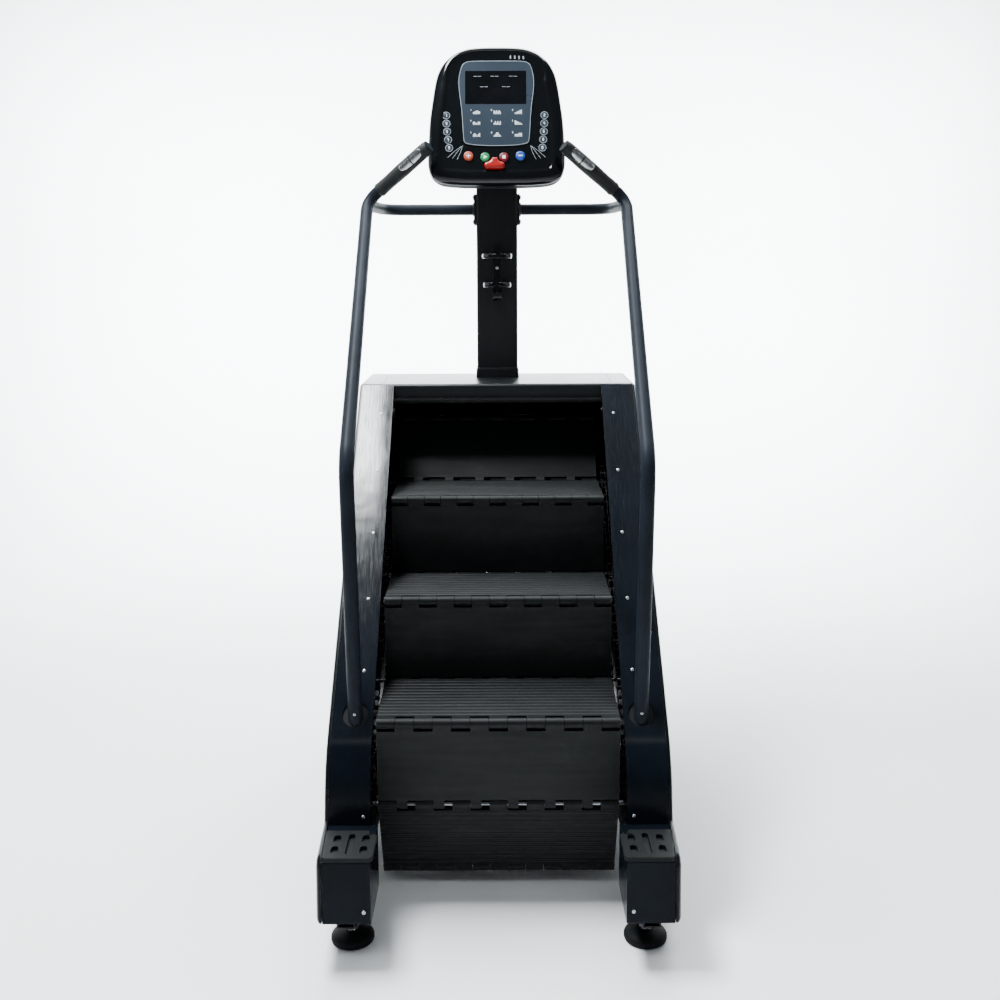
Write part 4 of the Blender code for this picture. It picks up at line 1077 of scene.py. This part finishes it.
def stroke(points, width, n, closed=False):
    """Printed line on the console face, as a thin raised strip."""
    pts = [Vector(p) for p in points]
    first, last = (pts[-1:], pts[:1]) if closed else (pts[:1], pts[-1:])
    rings = []
    for before, here, after in zip(first + pts[:-1], pts, pts[1:] + last):
        d = (after - before).normalized()
        side = Vector((-d.y, d.x)) * width / 2
        left, right = here + side, here - side
        rings.append([(*left, n), (*right, n), (*right, n + PRINT_LIFT), (*left, n + PRINT_LIFT)])
    return to_console(loft(rings, ring_join=closed))


def bar(x0, x1, v0, v1, n, lift=PRINT_LIFT):
    return to_console(box((x0, x1), (v0, v1), (n, n + lift)))


def build_console_shell():
    """Housing, gloss front with its cutouts, and the overlay panel."""
    outside = ((0.05, -0.0615), (0.034, -0.061), (0.022, -0.056), (0.012, -0.046), (0.004, -0.032),
               (0.001, -0.02), (0.0, -0.008), (0.0, -0.0012))
    back = loft([ring_at(offset_loop(OUTLINE, inset), n) for inset, n in outside])
    piece("console_back", to_console(back), "console_back", angle=50, replaces=("console_housing",))
    front = ((0.0, 0.0004), (0.0002, 0.004), (0.0014, 0.0085), (0.0042, 0.013), (0.0085, 0.0171),
             (0.014, 0.0203), (0.02, 0.0225), (0.0248, 0.0235), (0.028, 0.0236), (0.0302, 0.0231),
             (0.032, 0.0221), (0.0334, 0.0214), (0.035, FACE_N))
    rings = []
    for inset, n in front:
        loop = []
        for (x, v), (p, q) in zip(OUTLINE, offset_loop(OUTLINE, inset)):
            # the rolled rim is wide along the sides and narrow along the top
            share = 1.15 - 0.7 * min(max((v - 0.1) / 0.08, 0.0), 1.0)
            loop.append((x + (p - x) * share, v + (q - v) * share))
        rings.append(ring_at(loop, n))
    face = piece("console_front", to_console(loft(rings)), "console_plastic", angle=50,
                 replaces=("console_bezel",))
    cut(face, to_console(prism(offset_loop(PANEL, -0.0006), 0.0205, 0.04)))
    for x, v in KEYS.values():
        cut(face, to_console(prism(circle(x, v, 0.014, 40), 0.016, 0.04)))
    cut(face, to_console(prism(spline_loop(stop_outline(0.001), 5), 0.014, 0.04)))
    face.data.set_sharp_from_angle(angle=math.radians(50))
    piece("overlay_panel", to_console(prism(PANEL, 0.0208, ON_PANEL)), "display_overlay", bevel=0.0004,
          replaces=("display_panel",))


def build_display():
    window = round_loop([(-0.087, 0.0275), (0.083, 0.0275), (0.083, 0.1245), (-0.087, 0.1245)], 0.003)
    n = ON_PANEL + 0.0005
    piece("display_window", to_console(prism(window, ON_PANEL, n)), "window")
    labels = [(-0.052, 0.108), (-0.004, 0.108), (0.048, 0.108), (-0.034, 0.077), (0.028, 0.077)]
    dashes = [(x + dash, v) for x, v in labels for dash in (-0.012, 0.0)]
    faint = [bar(x, x + 0.01, v, v + 0.0013, n, 0.0002) for x, v in dashes]
    piece("display_labels", join(faint), "print_faint")
    piece("overlay_outline", stroke(offset_loop(PANEL, 0.0012), 0.001, ON_PANEL, closed=True), "print_soft")


def build_program_icons():
    """Nine programme marks: a small numeral and a bar profile each."""
    profiles = ((2, 3, 4, 5, 4, 3), (5, 3, 5, 3, 5, 3), (1, 2, 3, 4, 5, 6), (4, 4, 2, 2, 4, 4),
                (2, 5, 2, 5, 2, 5), (6, 5, 4, 3, 2, 1), (3, 5, 3, 1, 3, 5), (1, 3, 6, 6, 3, 1),
                (3, 3, 3, 5, 5, 5))
    shapes = []
    for i, profile in enumerate(profiles):
        cx = (-0.056, 0.0015, 0.06)[i % 3]
        cv = (0.0045, -0.027, -0.0615)[i // 3]
        shapes += digit(i + 1, cx - 0.015, cv + 0.0052, 0.0048, ON_PANEL)
        for j, height in enumerate(profile):
            x = cx - 0.0088 + j * 0.0034
            shapes.append(bar(x, x + 0.0022, cv - 0.0045, cv - 0.0045 + height * 0.0017, ON_PANEL))
        shapes.append(bar(cx - 0.0092, cx + 0.0116, cv - 0.0064, cv - 0.0056, ON_PANEL))
    piece("programme_marks", join(shapes), "print")


# which of the seven bars of a numeral each digit shows
SEGMENT_CODE = ("abcdef", "bc", "abged", "abgcd", "fgbc", "afgcd", "afgedc", "abc", "abcdefg", "abfgcd")


def digit(value, cx, cv, size, n):
    """Plain numeral made of bars."""
    w, h, t = size * 0.5, size, size * 0.16
    left, right = (-w / 2, -w / 2 + t), (w / 2 - t, w / 2)
    across, upper, lower = (-w / 2, w / 2), (0, h / 2), (-h / 2, 0)
    parts = {"a": (across, (h / 2 - t, h / 2)), "b": (right, upper), "c": (right, lower),
             "d": (across, (-h / 2, -h / 2 + t)), "e": (left, lower), "f": (left, upper),
             "g": (across, (-t / 2, t / 2))}
    chosen = [parts[letter] for letter in SEGMENT_CODE[value]]
    return [bar(cx + x0, cx + x1, cv + v0, cv + v1, n) for (x0, x1), (v0, v1) in chosen]


def build_number_keys():
    """Five membrane keys on each side, with plain numerals."""
    rims, domes, marks = [], [], []
    for column, x_top, x_low in ((0, -0.1395, -0.131), (1, 0.1335, 0.127)):
        for row in range(5):
            x = x_top + (x_low - x_top) * (row / 4) ** 1.6
            v = -0.005 - row * 0.0236
            outer, inner = circle(x, v, 0.0106, 32), circle(x, v, 0.0097, 32)
            rims.append(prism(outer, FACE_N, FACE_N + 0.0007, 'z', [inner]))
            domes.append(loft([ring_at(circle(x, v, r, 32), FACE_N + h) for r, h in
                               ((0.0088, 0.0), (0.0088, 0.0004), (0.007, 0.0008), (0.003, 0.001))]))
            marks += digit((row * 2 + column + 1) % 10, x, v, 0.008, FACE_N + 0.0009)
    piece("number_key_rims", to_console(join(rims)), "print_soft", slot="console_plastic")
    piece("number_key_domes", to_console(join(domes)), "display_overlay", angle=50)
    piece("number_key_numerals", join(marks), "print")


def key_mark(name, x, v, n):
    """Plus, minus, a start triangle or a stop square."""
    dash = bar(x - 0.006, x + 0.006, v - 0.0012, v + 0.0012, n)
    if name == "key_orange":
        return [dash, bar(x - 0.0012, x + 0.0012, v - 0.006, v + 0.006, n)]
    if name == "key_blue":
        return [dash]
    if name == "key_green":
        start = [(x - 0.004, v - 0.0055), (x + 0.006, v), (x - 0.004, v + 0.0055)]
        return [to_console(prism(start, n, n + 0.0002))]
    return [bar(x - 0.0045, x + 0.0045, v - 0.0045, v + 0.0045, n)]


def build_colour_keys():
    profile = [(0, 0.019), (0.013, 0.019), (0.013, 0.0252), (0.0126, 0.0262), (0.0116, 0.0269),
               (0.009, 0.0273), (0, 0.0275)]
    for name, at in KEYS.items():
        piece("press_" + name, to_console(lathe(profile, at, 44)), name, name, angle=50, replaces=(name,))
        piece("mark_" + name, join(key_mark(name, *at, 0.02745)), "print", name, slot=name)
    section = ((0.0, 0.019), (0.0, 0.03), (0.0012, 0.0322), (0.0032, 0.0338), (0.006, 0.0345),
               (0.0095, 0.0345))
    rings = [ring_at(spline_loop(offset_loop(stop_outline(), inset)), n) for inset, n in section]
    piece("stop_button", to_console(loft(rings)), "stop_red", "emergency_stop", angle=50,
          replaces=("emergency_stop",))


def build_console_trim():
    """Speaker slots at the top right, fan lines below the overlay and a seam between the two shells."""
    slots = [prism(rounded_slot(0.04 + i * 0.012, 0.1665 - i * 0.0006, 0.0036, 0.01), FACE_N - 0.0002,
                   FACE_N + 0.0003) for i in range(4)]
    piece("console_slots", to_console(join(slots)), "print_faint", slot="console_plastic")
    fan = []
    for side in (-1, 1):
        for i in range(3):
            a = (side * (0.094 + i * 0.002), -0.093 - i * 0.001)
            mid = (side * (0.099 + i * 0.0085), -0.111 + i * 0.001)
            b = (side * (0.109 + i * 0.013), -0.133 + i * 0.003)
            fan.append(stroke([a, mid, b], 0.0008, FACE_N))
    piece("console_fan_lines", join(fan), "print_soft", slot="console_plastic")
    section = ((0.001, -0.0012), (0.001, 0.0004), (0.006, 0.0004), (0.006, -0.0012))
    rings = [ring_at(offset_loop(OUTLINE, inset), n) for inset, n in section]
    piece("console_seam", to_console(loft(rings, ring_join=True)), "rubber", slot="console_plastic")


# ================================================================ kept CAD nodes
KEPT = {"powder_coat": ("main_frame", "side_plate_left", "side_plate_right"),
        "chain_steel": ("lower_shaft", "upper_shaft", "brake_rotor"),
        "bright_steel": tuple("corner_axle_%d" % k for k in range(STEPS))}


def finish_kept_nodes():
    for material, names in KEPT.items():
        for name in names:
            slots = NODES[name].material_slots
            for slot in slots:
                slot.material = MAT[material]
            if not slots:
                NODES[name].data.materials.append(MAT[material])


def build_belt():
    """Belt from the upper pulley to the brake, half way round each."""
    top = Vector(on_incline(LOOP_C, 0))
    low = Vector((SY + 0.64, 0.33))
    d = (low - top).normalized()
    n = Vector((-d.y, d.x))
    half_turn = [math.pi * i / 24 for i in range(25)]
    outer, inner = ([tuple(centre + (n * math.cos(a) - d * math.sin(a)) * r)
                     for centre, r in ((top, r1), (low, -r2)) for a in half_turn]
                    for r1, r2 in ((0.0768, 0.0268), (0.0752, 0.0252)))
    piece("drive_belt", prism(outer, 0.325, 0.34, 'x', [inner]), "rubber")


# ================================================================ stage
FLOOR_HALF, WALL_Y, WALL_BEND = 9.0, 2.6, 1.6
FLOOR_DROP = 0.0004
LIGHT_COLOUR = (0.93, 0.98, 1.0)
WORLD_COLOUR = (0.88, 0.96, 1.0, 1.0)
# place, aim, width, height, power in watts, spread in degrees
LIGHTS = {"overhead": ((0.0, 1.7, 4.3), (0, 1.5, 0.0), 3.6, 2.4, 420, 180),
          "overhead_left": ((-1.15, -0.35, 4.1), (-0.6, -0.3, 0.6), 1.3, 1.0, 400, 180),
          "back_left": ((-3.6, 1.9, 2.4), (-0.4, 4.2, 1.3), 2.6, 2.6, 420, 85),
          "back_right": ((3.6, 1.9, 2.4), (0.4, 4.2, 1.3), 2.6, 2.6, 420, 85),
          "front_floor": ((0.0, SY - 1.9, 2.6), (0.0, SY - 1.3, 0.0), 2.0, 0.8, 12, 60),
          "strip_left": ((-2.3, 0.5, 2.0), (0.0, 0.3, 1.7), 2.0, 1.4, 16, 180),
          "strip_far_right": ((2.3, 0.3, 2.0), (0.0, 0.3, 1.7), 1.2, 1.4, 8, 180)}


def build_stage():
    """Pale floor that curves up into a wall behind the object."""
    bend = [math.pi / 2 * i / 16 for i in range(17)]
    profile = [(-FLOOR_HALF, 0.0)]
    profile += [(WALL_Y + WALL_BEND * math.sin(a), WALL_BEND - WALL_BEND * math.cos(a)) for a in bend]
    profile.append((WALL_Y + WALL_BEND, FLOOR_HALF))
    verts = [(x, y, z - FLOOR_DROP) for y, z in profile for x in (-FLOOR_HALF, FLOOR_HALF)]
    faces = [(i, i + 1, i + 3, i + 2) for i in range(0, len(verts) - 2, 2)]
    obj = mesh_object("studio_sweep", (verts, faces))
    obj.data.polygons.foreach_set("use_smooth", [True] * len(faces))
    obj.data.materials.append(MAT["floor"])


def build_lights():
    world = bpy.data.worlds.new("studio")
    world.use_nodes = True
    background = world.node_tree.nodes["Background"]
    background.inputs["Color"].default_value = WORLD_COLOUR
    background.inputs["Strength"].default_value = 0.22
    bpy.context.scene.world = world
    for name, (at, look, width, height, power, spread) in LIGHTS.items():
        data = bpy.data.lights.new(name, 'AREA')
        data.shape = 'RECTANGLE'
        data.size = width
        data.size_y = height
        data.energy = power
        data.color = LIGHT_COLOUR
        data.spread = math.radians(spread)
        obj = bpy.data.objects.new(name, data)
        obj.location = at
        obj.rotation_euler = (Vector(look) - Vector(at)).to_track_quat('-Z', 'Y').to_euler()
        bpy.context.scene.collection.objects.link(obj)


def build_camera():
    data = bpy.data.cameras.new("camera")
    data.sensor_width = 36.0
    data.lens = 40.68
    data.shift_y = -0.1
    camera = bpy.data.objects.new("camera", data)
    camera.location = (0.0069, SY - 2.582, 1.523)
    camera.rotation_euler = (Matrix.Rotation(math.radians(90 - 7.31), 3, 'X')
                             @ Matrix.Rotation(-0.004, 3, 'Z')).to_euler()
    bpy.context.scene.collection.objects.link(camera)
    bpy.context.scene.camera = camera


for build in (finish_kept_nodes, build_stairs, build_chains, build_side_covers, build_fascias,
              build_entry_pads, build_top_and_rear, build_feet, build_column, build_handrails, build_grips,
              build_bottle_cage, build_console_shell, build_display, build_program_icons, build_number_keys,
              build_colour_keys, build_console_trim, build_belt, build_stage, build_lights, build_camera):
    build()
